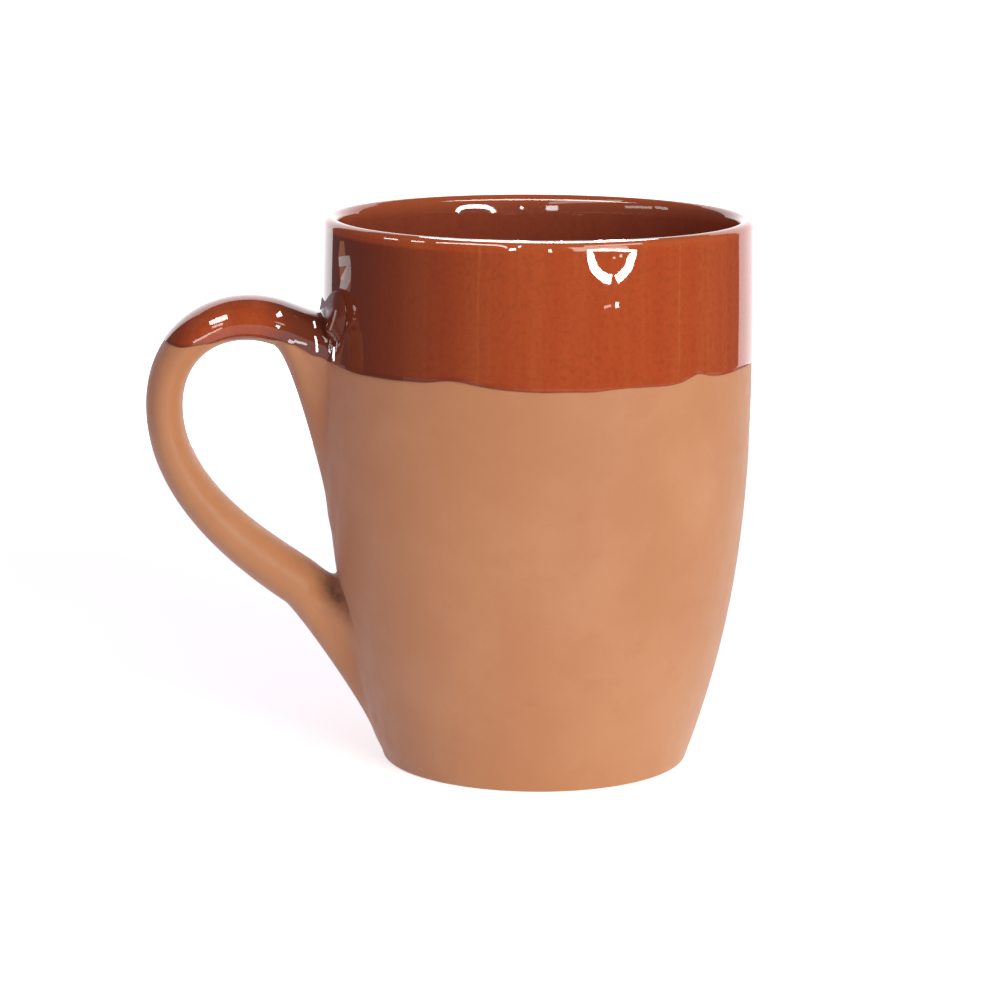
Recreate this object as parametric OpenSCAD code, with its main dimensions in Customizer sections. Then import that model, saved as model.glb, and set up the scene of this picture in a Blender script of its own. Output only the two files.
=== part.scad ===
/* [Body] */
// Height of the clay body, from the foot to the top of the lip
cup_h = 108; // [90:1:125]
// Diameter of the flat foot, taken where its wall starts
foot_d = 60.4; // [54:0.2:66]
// Diameter of the clay at the widest ring of the body
belly_d = 84.4; // [78:0.2:92]
// Distance of the widest ring below the top of the lip
belly_drop = 28; // [20:1:40]
// Diameter of the clay just under the lip
rim_d = 83.6; // [77:0.2:84.4]
// Thickness of the wall at the lip and at the belly
wall_t = 4.1; // [3:0.1:5.5]
// Thickness of the floor
floor_t = 6; // [4:0.25:9]
// Diameter of the flat middle of the inside floor
floor_flat_d = 26; // [18:1:34]
// Radius of the softened edge round the foot
foot_edge_r = 0.9; // [0.4:0.1:2]
// Lean of the wall away from upright just above the foot, in degrees
foot_lean = 19.6; // [14:0.2:24]

/* [Handle] */
// Reach of the handle's outermost face beyond the widest ring
handle_reach = 34.8; // [28:0.2:42]
// Distance of the strap's centre below the lip where the upper root begins
upper_drop = 20.4; // [16:0.2:24]
// Distance of that centre beyond the widest ring
upper_off = 8.5; // [7:0.1:12]
// Distance of the handle's outermost point below that centre
handle_out_drop = 16.1; // [12:0.1:24]
// Height of the strap's centre where the lower root begins
lower_z = 36.3; // [32:0.2:42]
// Distance of that centre beyond the widest ring
lower_off = 5.3; // [4:0.1:9]
// Climb of the strap as it leaves the upper root, in degrees
upper_climb = 20; // [8:1:28]
// Slope of the strap as it comes in to the lower root, in degrees
lower_slope = 35; // [25:1:45]
// Width of the strap where it is held
strap_w = 15; // [12:0.5:20]
// Thickness of the strap at the upper root
strap_top_t = 8.6; // [6.5:0.1:10.5]
// Thickness of the strap at its outermost point
strap_mid_t = 7.2; // [5.5:0.1:9]
// Thickness of the strap at the lower root
strap_low_t = 9.6; // [7.5:0.1:11]

/* [Roots] */
// Width of the pressed-on upper root at the wall
upper_root_w = 17.6; // [15:0.2:21]
// Distance of the top of the upper root below the lip
upper_root_drop = 18.4; // [16:0.2:19.4]
// Distance from the top of the upper root down to its widest place
upper_root_rise = 5.2; // [4:0.2:7]
// Free height between the web under the upper root and the lower root
web_gap = 12.8; // [8:0.2:20]
// Width of the lower root at the wall
lower_root_w = 16; // [13:0.2:20]
// Height at which the top of the lower root meets the wall
lower_root_top = 37.2; // [35:0.2:41]
// Height at which the tail of the lower root runs out near the foot
lower_root_foot = 5; // [3:0.5:10]
// Height of the widest place of the lower root
lower_root_mid = 31; // [28:0.5:34]

/* [Joining clay] */
// Thickness of the slip between each root and the wall
slip_t = 0.3; // [0.15:0.05:0.5]
// Distance that the slip stays inside the edge of a root
slip_inset = 0.5; // [0.3:0.1:1]
// Height of the collar above the wall at the crown of the upper root
collar_t = 1.5; // [0.8:0.1:2.2]
// Height of the collar above the wall beside the strap
collar_side_t = 2.2; // [1:0.1:2.6]
// Width of the collar over the crown of the upper root
collar_crown_w = 4.4; // [3:0.2:6]
// Width of the collar beside the strap
collar_side_w = 1.6; // [1:0.1:2.4]
// Extra width of the two ears that spread at the collar's corners
collar_ear_w = 7; // [3:0.2:8]
// Turn from the crown of the collar to the middle of each ear, in degrees
collar_ear_turn = 62; // [50:1:72]

/* [Glaze] */
// Thickness of the fired glaze
glaze_t = 0.3; // [0.2:0.05:0.6]
// Distance of the body's dip line below the top of the lip
dip_drop = 27.2; // [22:0.2:36]
// Height of the soft waves along the dip line
dip_wave = 0.5; // [0:0.1:1.2]
// Distance of the handle's dip line below the top of the lip
handle_dip_drop = 23.1; // [21.5:0.1:24]

/* [Hidden] */

$fn = 96;
clay = [0.80, 0.52, 0.38];
wet_clay = [0.70, 0.43, 0.31];
brown_glaze = [0.56, 0.21, 0.12];
lining_brown = [0.45, 0.18, 0.12];

belly_z = cup_h - belly_drop;
upper_z = cup_h - upper_drop;
handle_out_z = upper_z - handle_out_drop;
upper_root_top = cup_h - upper_root_drop;
upper_root_mid = upper_root_top - upper_root_rise;
upper_root_foot = lower_root_top + web_gap;
dip_z = cup_h - dip_drop;
handle_dip_z = cup_h - handle_dip_drop;
foot_r = foot_d / 2;
belly_r = belly_d / 2;
rim_r = rim_d / 2;
lip_r = wall_t / 2;
lip_z = cup_h - lip_r;
lip_mid_r = rim_r - lip_r;
// Clearance that keeps faceted clay off the turned wall
seat = 0.03;
// Overrun of every cutting shape past what it cuts
overrun = 1;

// Shares of the belly's height that set how full the curves of the wall are
foot_curve_share = 0.35;
belly_curve_share = 0.35;
inner_floor_share = 0.72;
inner_belly_share = 0.56;
// Shares of the way from the belly to the lip, up and inwards, that bend the rim
lip_rise_shares = [0.5, 0.8];
lip_lean_share = 0.9;
// Shares of the strap's own span that set how round its bends are
upper_bend_shares = [0.50, 0.87];
lower_bend_shares = [0.50, 0.36];
// Shares of a root's extra width that the strap's end takes up, and of the
// strap's length over which it does
strap_flare_share = 0.4;
strap_flare_run_share = 1 / 3;

profile_steps = 20;
lip_steps = 8;
ring_sides = 32;
strap_rings = 30;
root_rings = 10;
// Exponent of the strap's section: 2 is an ellipse, more is squarer
strap_squareness = 2.3;

function bezier(p, t) =
    pow(1 - t, 3) * p[0] + 3 * pow(1 - t, 2) * t * p[1]
    + 3 * (1 - t) * t * t * p[2] + pow(t, 3) * p[3];
function bezier_slope(p, t) =
    3 * pow(1 - t, 2) * (p[1] - p[0]) + 6 * (1 - t) * t * (p[2] - p[1])
    + 3 * t * t * (p[3] - p[2]);
function unit(v) = v / norm(v);
function mix(a, b, t) = a + (b - a) * t;
function smooth(t) = let (s = min(1, max(0, t))) s * s * (3 - 2 * s);
function spow(v, e) = sign(v) * pow(abs(v), e);

// Outside of the clay, as [radius, height], from the foot's edge to the lip
edge_centre = [foot_r - foot_edge_r * tan((90 - foot_lean) / 2), foot_edge_r];
wall_start = edge_centre + foot_edge_r * [cos(foot_lean), -sin(foot_lean)];
lower_wall = [
    wall_start,
    wall_start + foot_curve_share * belly_z * [tan(foot_lean), 1],
    [belly_r, belly_z * (1 - belly_curve_share)],
    [belly_r, belly_z]];
foot_edge = [for (i = [0 : lip_steps - 1])
    edge_centre + foot_edge_r * [sin(i / lip_steps * (90 - foot_lean)),
                                 -cos(i / lip_steps * (90 - foot_lean))]];
upper_wall = [
    [belly_r, belly_z],
    [belly_r, mix(belly_z, lip_z, lip_rise_shares[0])],
    [mix(belly_r, rim_r, lip_lean_share), mix(belly_z, lip_z, lip_rise_shares[1])],
    [rim_r, lip_z]];
outer_line = concat(
    [for (i = [0 : profile_steps]) bezier(lower_wall, i / profile_steps)],
    [for (i = [1 : lip_steps]) bezier(upper_wall, i / lip_steps)]);
outer_lip = [for (i = [1 : lip_steps])
    [lip_mid_r, lip_z] + lip_r * [cos(i / lip_steps * 90), sin(i / lip_steps * 90)]];

// Inside of the clay, from the lip's crest down to the middle of the floor
inner_belly_r = belly_r - wall_t;
inner_rim_r = rim_r - wall_t;
inner_lip = [for (i = [1 : lip_steps])
    [lip_mid_r, lip_z]
    + lip_r * [-sin(i / lip_steps * 90), cos(i / lip_steps * 90)]];
inner_wall = [
    [inner_belly_r, belly_z],
    [inner_belly_r, floor_t + (belly_z - floor_t) * (1 - inner_belly_share)],
    [mix(floor_flat_d / 2, inner_belly_r, inner_floor_share), floor_t],
    [floor_flat_d / 2, floor_t]];
inner_line = concat(
    inner_lip,
    [for (i = [1 : lip_steps])
        mix([inner_rim_r, lip_z], [inner_belly_r, belly_z], i / lip_steps)],
    [for (i = [1 : profile_steps]) bezier(inner_wall, i / profile_steps)]);

// Radius of the clay's outside at a height, on the same straight segments
wall_table = [for (p = outer_line) [p[1], p[0]]];
function wall_r(z) = lookup(z, wall_table);
// Point on the handle's side of the wall, a distance h off its surface
function on_wall(y, z, h) = let (r = wall_r(z) + h) [-sqrt(r * r - y * y), y, z];

// Each point of a line moved by t along the line's normal
function normal_at(line, i) =
    let (d = unit(line[min(i + 1, len(line) - 1)] - line[max(i - 1, 0)]))
    [d[1], -d[0]];
function shifted(line, t) = [for (i = [0 : len(line) - 1]) line[i] + t * normal_at(line, i)];

// Centre line of the strap, as [distance from the axis, height]
out_r = belly_r + handle_reach - strap_mid_t / 2;
upper_r = belly_r + upper_off;
lower_r = belly_r + lower_off;
upper_bow = [
    [upper_r, upper_z],
    [upper_r, upper_z]
        + (out_r - upper_r) * upper_bend_shares[0] * [cos(upper_climb), sin(upper_climb)],
    [out_r, handle_out_z + (upper_z - handle_out_z) * upper_bend_shares[1]],
    [out_r, handle_out_z]];
lower_bow = [
    [out_r, handle_out_z],
    [out_r, handle_out_z - (handle_out_z - lower_z) * lower_bend_shares[0]],
    [lower_r, lower_z]
        + (out_r - lower_r) * lower_bend_shares[1] * [cos(lower_slope), sin(lower_slope)],
    [lower_r, lower_z]];
function strap_centre(w) =
    w < 0.5 ? bezier(upper_bow, 2 * w) : bezier(lower_bow, 2 * w - 1);
function strap_along(w) =
    unit(w < 0.5 ? bezier_slope(upper_bow, 2 * w) : bezier_slope(lower_bow, 2 * w - 1));
function strap_out(w) = let (d = strap_along(w)) [-d[1], d[0]];
function strap_half_t(w) = 0.5 * (w < 0.5
    ? mix(strap_top_t, strap_mid_t, smooth(2 * w))
    : mix(strap_mid_t, strap_low_t, smooth(2 * w - 1)));
function strap_half_w(w) =
    let (near_end = smooth(1 - min(w, 1 - w) / strap_flare_run_share),
         root_w = w < 0.5 ? upper_root_w : lower_root_w)
    0.5 * mix(strap_w, root_w, strap_flare_share * near_end);

// Point on the strap: w runs from the upper to the lower root, and a turns
// round the section from its outer face
function strap_point(w, a) =
    let (c = strap_centre(w) + strap_out(w) * strap_half_t(w)
             * spow(cos(a), 2 / strap_squareness))
    [-c[0], strap_half_w(w) * spow(sin(a), 2 / strap_squareness), c[1]];

// Shares of the way from the strap to the wall that pull a root's curve along
// the strap, and along the wall, each on the root's outer and inner face
upper_strap_pull_shares = [0.7, 0.28];
upper_wall_pull_shares = [0.5, 0.9];
lower_strap_pull_shares = [0.25, 0.8];
lower_wall_pull_shares = [0.6, 0.6];
// Shares of that second pull that run along the wall: 0 meets the wall squarely
upper_run_out_shares = [0, 1];
lower_run_out_shares = [0.66, 0.15];
// Each root is [end of the strap, width, height of its outer-face end, height
// of its widest place, height of its inner-face end, and its three pulls]
upper_root = [0, upper_root_w, upper_root_top, upper_root_mid, upper_root_foot,
              upper_strap_pull_shares, upper_wall_pull_shares, upper_run_out_shares];
lower_root = [1, lower_root_w, lower_root_foot, lower_root_mid, lower_root_top,
              lower_strap_pull_shares, lower_wall_pull_shares, lower_run_out_shares];
// Height of a root above the wall where it meets the slip
root_seat = slip_t + 2 * seat;

function root_outline(root, a) = [
    0.5 * root[1] * sin(a),
    root[3] + abs(cos(a)) * ((cos(a) > 0 ? root[2] : root[4]) - root[3])];
function root_point(root, a, t) =
    let (p0 = strap_point(root[0], a),
         f = root_outline(root, a),
         p1 = on_wall(f[0], f[1], root_seat),
         reach = norm(p1 - p0),
         face = (1 - cos(a)) / 2,
         d = strap_along(root[0]) * (root[0] == 0 ? -1 : 1),
         along = unit([0, f[0], f[1] - root[3]] + [0, 0, sign(f[1] - root[3]) * seat]),
         ease = mix(root[7][0], root[7][1], face),
         t0 = reach * mix(root[5][0], root[5][1], face) * [-d[0], 0, d[1]],
         t1 = reach * mix(root[6][0], root[6][1], face)
              * unit(mix([1, 0, 0], along, ease)))
    (2 * pow(t, 3) - 3 * t * t + 1) * p0 + (pow(t, 3) - 2 * t * t + t) * t0
    + (3 * t * t - 2 * pow(t, 3)) * p1 + (pow(t, 3) - t * t) * t1;
function root_cap(root, a, k) =
    let (f = root_outline(root, a))
    on_wall(k * f[0], mix(root[3], f[1], k), root_seat);

function turns(from, to, steps) = [for (i = [0 : steps]) mix(from, to, i / steps)];
ring_turns = [for (j = [0 : ring_sides - 1]) 360 * j / ring_sides];
cap_steps = 7;
cap_shares = [for (i = [1 : cap_steps - 1]) i / cap_steps];

handle_rings = concat(
    [for (k = cap_shares) [for (a = ring_turns) root_cap(upper_root, a, k)]],
    [for (i = [0 : root_rings - 1])
        [for (a = ring_turns) root_point(upper_root, a, 1 - i / root_rings)]],
    [for (w = turns(0, 1, strap_rings)) [for (a = ring_turns) strap_point(w, a)]],
    [for (i = [1 : root_rings])
        [for (a = ring_turns) root_point(lower_root, a, i / root_rings)]],
    [for (i = [1 : len(cap_shares)])
        [for (a = ring_turns) root_cap(lower_root, a, cap_shares[len(cap_shares) - i])]]);

// Closed tube through rings of points, with a middle point at each end
module tube(rings, first, last) {
    n = len(rings[0]);
    m = len(rings);
    points = concat([for (r = rings) for (p = r) p], [first, last]);
    sides = [for (i = [0 : m - 2]) for (j = [0 : n - 1])
        let (a = i * n + j, b = i * n + (j + 1) % n)
        each [[a, a + n, b], [b, a + n, b + n]]];
    starts = [for (j = [0 : n - 1]) [m * n, j, (j + 1) % n]];
    ends = [for (j = [0 : n - 1]) [m * n + 1, (m - 1) * n + (j + 1) % n, (m - 1) * n + j]];
    polyhedron(points = points, faces = concat(sides, starts, ends), convexity = 6);
}

// Closed slab between an outer and an inner grid of points of one size
module slab(outer, inner) {
    m = len(outer);
    n = len(outer[0]);
    size = m * n;
    points = concat([for (r = outer) for (p = r) p], [for (r = inner) for (p = r) p]);
    cells = [for (i = [0 : m - 2]) for (j = [0 : n - 2]) i * n + j];
    top = [for (a = cells) each [[a, a + n, a + 1], [a + 1, a + n, a + n + 1]]];
    bottom = [for (f = top) [f[2] + size, f[1] + size, f[0] + size]];
    rim = concat(
        [for (j = [0 : n - 2]) [j, j + 1]],
        [for (i = [0 : m - 2]) [i * n + n - 1, (i + 1) * n + n - 1]],
        [for (j = [n - 1 : -1 : 1]) [(m - 1) * n + j, (m - 1) * n + j - 1]],
        [for (i = [m - 1 : -1 : 1]) [i * n, (i - 1) * n]]);
    walls = [for (e = rim)
        each [[e[0], e[1], e[0] + size], [e[1], e[1] + size, e[0] + size]]];
    polyhedron(points = points, faces = concat(top, bottom, walls), convexity = 6);
}

// Skin of a given thickness between two lines of one length
module turned_skin(line, t) {
    far = shifted(line, t);
    rotate_extrude()
        polygon(concat(line, [for (i = [len(far) - 1 : -1 : 0]) far[i]]));
}

// Straight prism through the wall on the handle's side, from an outline [y, z]
module wall_prism(outline) {
    rotate([90, 0, -90])
        translate([0, 0, belly_r / 2])
            linear_extrude(belly_r)
                polygon([for (p = outline) [-p[0], p[1]]]);
}

function grown(outline, centre_z, t) = [for (p = outline)
    p + t * unit(p - [0, centre_z])];

module body() {
    color(clay)
        rotate_extrude()
            polygon(concat([[0, 0]], foot_edge, outer_line, outer_lip, inner_line,
                           [[0, floor_t]]));
}

module handle() {
    color(clay)
        tube(handle_rings,
             on_wall(0, upper_root_mid, root_seat),
             on_wall(0, lower_root_mid, root_seat));
}

module slip_pad(root) {
    outline = [for (a = ring_turns) root_outline(root, a)];
    color(wet_clay)
        intersection() {
            turned_skin(outer_line, slip_t);
            wall_prism(grown(outline, root[3], -slip_inset));
        }
}

module upper_slip() {
    slip_pad(upper_root);
}

module lower_slip() {
    slip_pad(lower_root);
}

// Turn from the crown of the collar to each of its ends, in degrees
collar_end_turn = 92;
// Turn over which the collar thins out before its ends, in degrees
collar_fade_turn = 24;
// Turn from the crown at which its full width ends, in degrees
collar_crown_turn = 30;
// Turn from the crown at which the collar's sides begin, in degrees
collar_side_turn = 90;
// Half the turn over which each ear spreads, in degrees
collar_ear_half_turn = 47;
collar_steps = 32;
collar_turns = turns(-collar_end_turn, collar_end_turn, collar_steps);
// Shares of the collar's width at which its section has points
collar_shares = [0, 0.12, 0.3, 0.5, 0.7, 0.86, 1];
// Share of its height that the collar has in the crease beside the strap, and
// share of its width over which it comes up from there
collar_crease_share = 0.75;
collar_crease_run_share = 0.25;
// Shares that turn the collar's width upwards near the crown
collar_lift_share = 1.4;
collar_spread_share = 0.25;
// Exponent of the collar's slope down to the wall: less is fuller
collar_fullness = 0.8;

function ear(a) =
    let (off = min(1, abs(abs(a) - collar_ear_turn) / collar_ear_half_turn))
    pow(cos(90 * off), 2);
function crown(a) =
    smooth((collar_side_turn - abs(a)) / (collar_side_turn - collar_crown_turn));
function collar_w(a) =
    mix(collar_side_w, collar_crown_w, crown(a)) + collar_ear_w * ear(a);
function collar_rise(a, s) =
    let (ends = smooth((collar_end_turn - abs(a)) / collar_fade_turn),
         full = mix(collar_side_t, collar_t, crown(a)),
         slope = pow(sin(90 * (1 - s)), collar_fullness),
         crease = mix(collar_crease_share, 1, smooth(s / collar_crease_run_share)))
    glaze_t + (full - glaze_t) * ends * slope * crease;
function collar_outline(a, s) =
    let (f = root_outline(upper_root, a),
         out = unit([f[0], collar_lift_share * (f[1] - upper_root_mid)
                           + collar_spread_share * upper_root_w * cos(a)]))
    f + out * (seat + s * collar_w(a));
collar_top = [for (a = collar_turns) [for (s = collar_shares)
    let (f = collar_outline(a, s)) on_wall(f[0], f[1], collar_rise(a, s))]];
collar_base = [for (a = collar_turns) [for (s = collar_shares)
    let (f = collar_outline(a, s)) on_wall(f[0], f[1], seat)]];

module collar() {
    color(brown_glaze)
        slab(collar_top, collar_base);
}

// Shares of the full wave that the dip line's three waves have
wave_shares = [0.6, 0.45, 0.4];
// Count of each of them round the cup
wave_counts = [2, 5, 7];
// Turn at which each of them is highest, times its count, in degrees
wave_turns = [-10, 35, -60];
dip_steps = 72;
dip_turns = [for (i = [0 : dip_steps - 1]) 360 * i / dip_steps];
// Dip line of the body, at a turn round the axis
function dip_line(a) =
    dip_z + dip_wave * wave_shares * [for (i = [0 : 2]) cos(wave_counts[i] * a - wave_turns[i])];

// Everything above the wavy dip line, a little wider than the cup
module above_dip() {
    near_r = rim_r - 2 * wall_t;
    far_r = belly_r + 2 * wall_t;
    top_z = cup_h + overrun;
    rings = [
        [for (a = dip_turns) [near_r * cos(a), near_r * sin(a), dip_line(a)]],
        [for (a = dip_turns) [far_r * cos(a), far_r * sin(a), dip_line(a)]],
        [for (a = dip_turns) [far_r * cos(a), far_r * sin(a), top_z]]];
    tube(rings, [0, 0, dip_z], [0, 0, top_z]);
}

module lining_glaze() {
    color(lining_brown)
        turned_skin(concat([outer_lip[lip_steps - 1]], inner_line, [[0, floor_t]]), glaze_t);
}

module outside_glaze() {
    upper_band = [for (p = outer_line) if (p[1] > dip_z - 4 * dip_wave - overrun) p];
    color(brown_glaze)
        difference() {
            intersection() {
                turned_skin(concat(upper_band, outer_lip), glaze_t);
                above_dip();
            }
            wall_prism(grown([for (a = ring_turns) root_outline(upper_root, a)],
                             upper_root_mid, glaze_t));
            wall_prism(concat([for (a = collar_turns) collar_outline(a, 1)],
                              [[0, upper_root_mid]]));
        }
}

// The handle's glaze starts on the upper root, by the collar, and covers the
// strap's outer face down to the level of the dip.
// Clearance between the strap and its glaze
glaze_gap = 0.1;
// Turn from the root's crown to the edge of the glaze beside it, in degrees
glaze_root_turn = 94;
// Share of the way down the root at which the glaze begins, and the share at
// which its last row on the root lies
glaze_root_shares = [0.7, 0.1];
// Least and greatest level of the dip, as shares of the strap's half thickness
dip_level_shares = [-0.9, 0.995];
// Shares of the strap between which the glaze ends, and the step of the search
dip_end_shares = [0.2, 0.45];
dip_search_share = 0.004;
// Turn round the section at which the glaze's two sides have met, in degrees
dip_close_turn = 12;
// Small turn round the section that gives a surface's normal, in degrees
probe_turn = 2;
// Small share of the root's length that gives it in the other direction
probe_share = 0.02;
glaze_columns = 24;
glaze_root_rows = 6;
glaze_strap_rows = 24;

// How far round the section the glaze reaches
function dip_turn(w) =
    let (level = (handle_dip_z - strap_centre(w)[1]) / (strap_out(w)[1] * strap_half_t(w)),
         held = min(dip_level_shares[1], max(dip_level_shares[0], level)))
    acos(spow(held, strap_squareness / 2));
function dip_end(w) =
    (dip_turn(w) < dip_close_turn || w > dip_end_shares[1]) ? w : dip_end(w + dip_search_share);
handle_dip_end = dip_end(dip_end_shares[0]);
glaze_turns = turns(-1, 1, glaze_columns);
// Normal of a point on a surface, from its neighbours
function facing(p, q, r) = unit(cross(r - p, q - p));
function root_skin(a, t, h) =
    let (p = root_point(upper_root, a, t))
    p + h * facing(p, root_point(upper_root, a + probe_turn, t),
                   root_point(upper_root, a, t + probe_share));
function strap_skin(a, w, h) =
    let (p = strap_point(w, a))
    p + h * facing(p, strap_point(w, a + probe_turn), strap_point(w - dip_search_share, a));
function glaze_grid(h) = concat(
    [for (t = turns(glaze_root_shares[0], glaze_root_shares[1], glaze_root_rows))
        [for (k = glaze_turns) root_skin(k * mix(dip_turn(0), glaze_root_turn, t), t, h)]],
    [for (w = turns(0, handle_dip_end, glaze_strap_rows))
        [for (k = glaze_turns) strap_skin(k * dip_turn(w), w, h)]]);

module handle_glaze() {
    color(brown_glaze)
        slab(glaze_grid(glaze_t), glaze_grid(glaze_gap));
}

body();
handle();
upper_slip();
lower_slip();
collar();
lining_glaze();
outside_glaze();
handle_glaze();
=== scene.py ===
"""A turned terracotta mug with a strap handle and a dipped brown glaze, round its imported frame."""
import math
from bisect import bisect_right

import bmesh
import bpy
from bpy.props import FloatProperty, FloatVectorProperty, IntProperty, PointerProperty
from mathutils import Matrix, Vector, noise
from mathutils.bvhtree import BVHTree
from mathutils.geometry import interpolate_bezier
from mathutils.interpolate import poly_3d_calc


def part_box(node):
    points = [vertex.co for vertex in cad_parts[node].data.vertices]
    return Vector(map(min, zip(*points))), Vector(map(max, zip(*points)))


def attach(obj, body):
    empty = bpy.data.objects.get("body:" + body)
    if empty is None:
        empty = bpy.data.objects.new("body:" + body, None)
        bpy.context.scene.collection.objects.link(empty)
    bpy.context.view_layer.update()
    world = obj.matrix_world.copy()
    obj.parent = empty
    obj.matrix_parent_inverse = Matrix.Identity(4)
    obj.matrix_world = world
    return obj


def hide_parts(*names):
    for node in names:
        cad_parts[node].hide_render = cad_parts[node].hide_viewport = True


bl_info = {
    "name": "Terracotta Mug",
    "version": (1, 0, 0),
    "blender": (4, 5, 0),
    "location": "View3D > Sidebar > Mug",
    "description": "Turned terracotta mug with a strap handle and a dipped brown glaze",
    "category": "Object",
}

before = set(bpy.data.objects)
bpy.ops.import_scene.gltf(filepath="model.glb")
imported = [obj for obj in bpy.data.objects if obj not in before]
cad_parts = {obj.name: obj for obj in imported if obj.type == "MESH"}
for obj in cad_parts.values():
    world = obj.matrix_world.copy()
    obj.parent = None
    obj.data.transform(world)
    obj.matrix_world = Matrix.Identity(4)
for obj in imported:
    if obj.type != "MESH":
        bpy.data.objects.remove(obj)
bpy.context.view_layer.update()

MM = 0.001
_, BODY_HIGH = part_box("body")
HANDLE_LOW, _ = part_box("handle")
LINING_LOW, LINING_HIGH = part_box("lining_glaze")


class MugBody(bpy.types.PropertyGroup):
    """Sizes of the turned clay body"""
    height: FloatProperty(
        name="Height", description="Height of the clay, from the foot to the lip",
        default=BODY_HIGH.z, unit="LENGTH")
    foot_radius: FloatProperty(
        name="Foot radius", description="Radius of the foot, where the wall starts",
        default=30.2 * MM, unit="LENGTH")
    belly_radius: FloatProperty(
        name="Belly radius", description="Radius of the clay at its widest ring",
        default=BODY_HIGH.x, unit="LENGTH")
    belly_drop: FloatProperty(
        name="Belly drop", description="Distance of the widest ring below the lip",
        default=28 * MM, unit="LENGTH")
    rim_radius: FloatProperty(
        name="Rim radius", description="Radius of the clay just under the lip",
        default=41.8 * MM, unit="LENGTH")
    wall: FloatProperty(
        name="Wall", description="Thickness of the wall at the lip and the belly",
        default=BODY_HIGH.x - LINING_HIGH.x, unit="LENGTH")
    floor: FloatProperty(
        name="Floor", description="Thickness of the floor",
        default=LINING_LOW.z, unit="LENGTH")
    floor_flat: FloatProperty(
        name="Flat floor", description="Radius of the flat middle of the inside floor",
        default=13 * MM, unit="LENGTH")
    foot_edge: FloatProperty(
        name="Foot edge", description="Radius of the softened edge round the foot",
        default=0.9 * MM, unit="LENGTH")
    foot_lean: FloatProperty(
        name="Foot lean", description="Lean of the wall away from upright above the foot",
        default=math.radians(19.6), subtype="ANGLE")
    foot_ring: FloatProperty(
        name="Foot ring", description="Width of the ring on which the mug stands",
        default=4.5 * MM, unit="LENGTH")
    dish: FloatProperty(
        name="Dish", description="Height of the shallow dish under the foot",
        default=0.5 * MM, unit="LENGTH")
    turns: IntProperty(
        name="Turns", description="Steps round the turned pieces", default=256)


class MugHandle(bpy.types.PropertyGroup):
    """Sizes of the pulled strap and its two pressed-on roots"""
    reach: FloatProperty(
        name="Reach", description="Distance from the axis to the outermost face",
        default=-HANDLE_LOW.x, unit="LENGTH")
    out_height: FloatProperty(
        name="Outermost height", description="Height of the outermost point",
        default=71.5 * MM, unit="LENGTH")
    upper_off: FloatProperty(
        name="Upper end off", description="Distance of the strap's upper end from the axis",
        default=50.7 * MM, unit="LENGTH")
    upper_height: FloatProperty(
        name="Upper end height", description="Height of the strap's upper end",
        default=87.6 * MM, unit="LENGTH")
    lower_off: FloatProperty(
        name="Lower end off", description="Distance of the strap's lower end from the axis",
        default=47.5 * MM, unit="LENGTH")
    lower_height: FloatProperty(
        name="Lower end height", description="Height of the strap's lower end",
        default=36.3 * MM, unit="LENGTH")
    upper_climb: FloatProperty(
        name="Upper climb", description="Climb of the strap as it leaves the upper root",
        default=math.radians(20), subtype="ANGLE")
    lower_slope: FloatProperty(
        name="Lower slope", description="Slope of the strap as it meets the lower root",
        default=math.radians(35), subtype="ANGLE")
    width: FloatProperty(
        name="Width", description="Width of the strap where it is held",
        default=15 * MM, unit="LENGTH")
    upper_thick: FloatProperty(
        name="Upper thickness", description="Thickness of the strap at the upper root",
        default=8.6 * MM, unit="LENGTH")
    middle_thick: FloatProperty(
        name="Middle thickness", description="Thickness of the strap at its outermost point",
        default=7.2 * MM, unit="LENGTH")
    lower_thick: FloatProperty(
        name="Lower thickness", description="Thickness of the strap at the lower root",
        default=9.6 * MM, unit="LENGTH")
    upper_root_width: FloatProperty(
        name="Upper root width", description="Width of the upper root on the wall",
        default=17.6 * MM, unit="LENGTH")
    upper_root_top: FloatProperty(
        name="Upper root top", description="Height of the top of the upper root",
        default=89.6 * MM, unit="LENGTH")
    upper_root_middle: FloatProperty(
        name="Upper root middle", description="Height of the widest place of the upper root",
        default=84.4 * MM, unit="LENGTH")
    upper_root_foot: FloatProperty(
        name="Upper root foot", description="Height at which the web runs out on the wall",
        default=50 * MM, unit="LENGTH")
    lower_root_width: FloatProperty(
        name="Lower root width", description="Width of the lower root on the wall",
        default=16 * MM, unit="LENGTH")
    lower_root_top: FloatProperty(
        name="Lower root top", description="Height of the top of the lower root",
        default=37.2 * MM, unit="LENGTH")
    lower_root_middle: FloatProperty(
        name="Lower root middle", description="Height of the widest place of the lower root",
        default=31 * MM, unit="LENGTH")
    lower_root_foot: FloatProperty(
        name="Lower root foot", description="Height at which the tail runs out",
        default=5 * MM, unit="LENGTH")
    fillet: FloatProperty(
        name="Fillet", description="Radius of the wiped joint round each root",
        default=0.7 * MM, unit="LENGTH")
    sides: IntProperty(name="Sides", description="Steps round the strap", default=96)
    rows: IntProperty(name="Rows", description="Steps along the strap", default=150)


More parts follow.
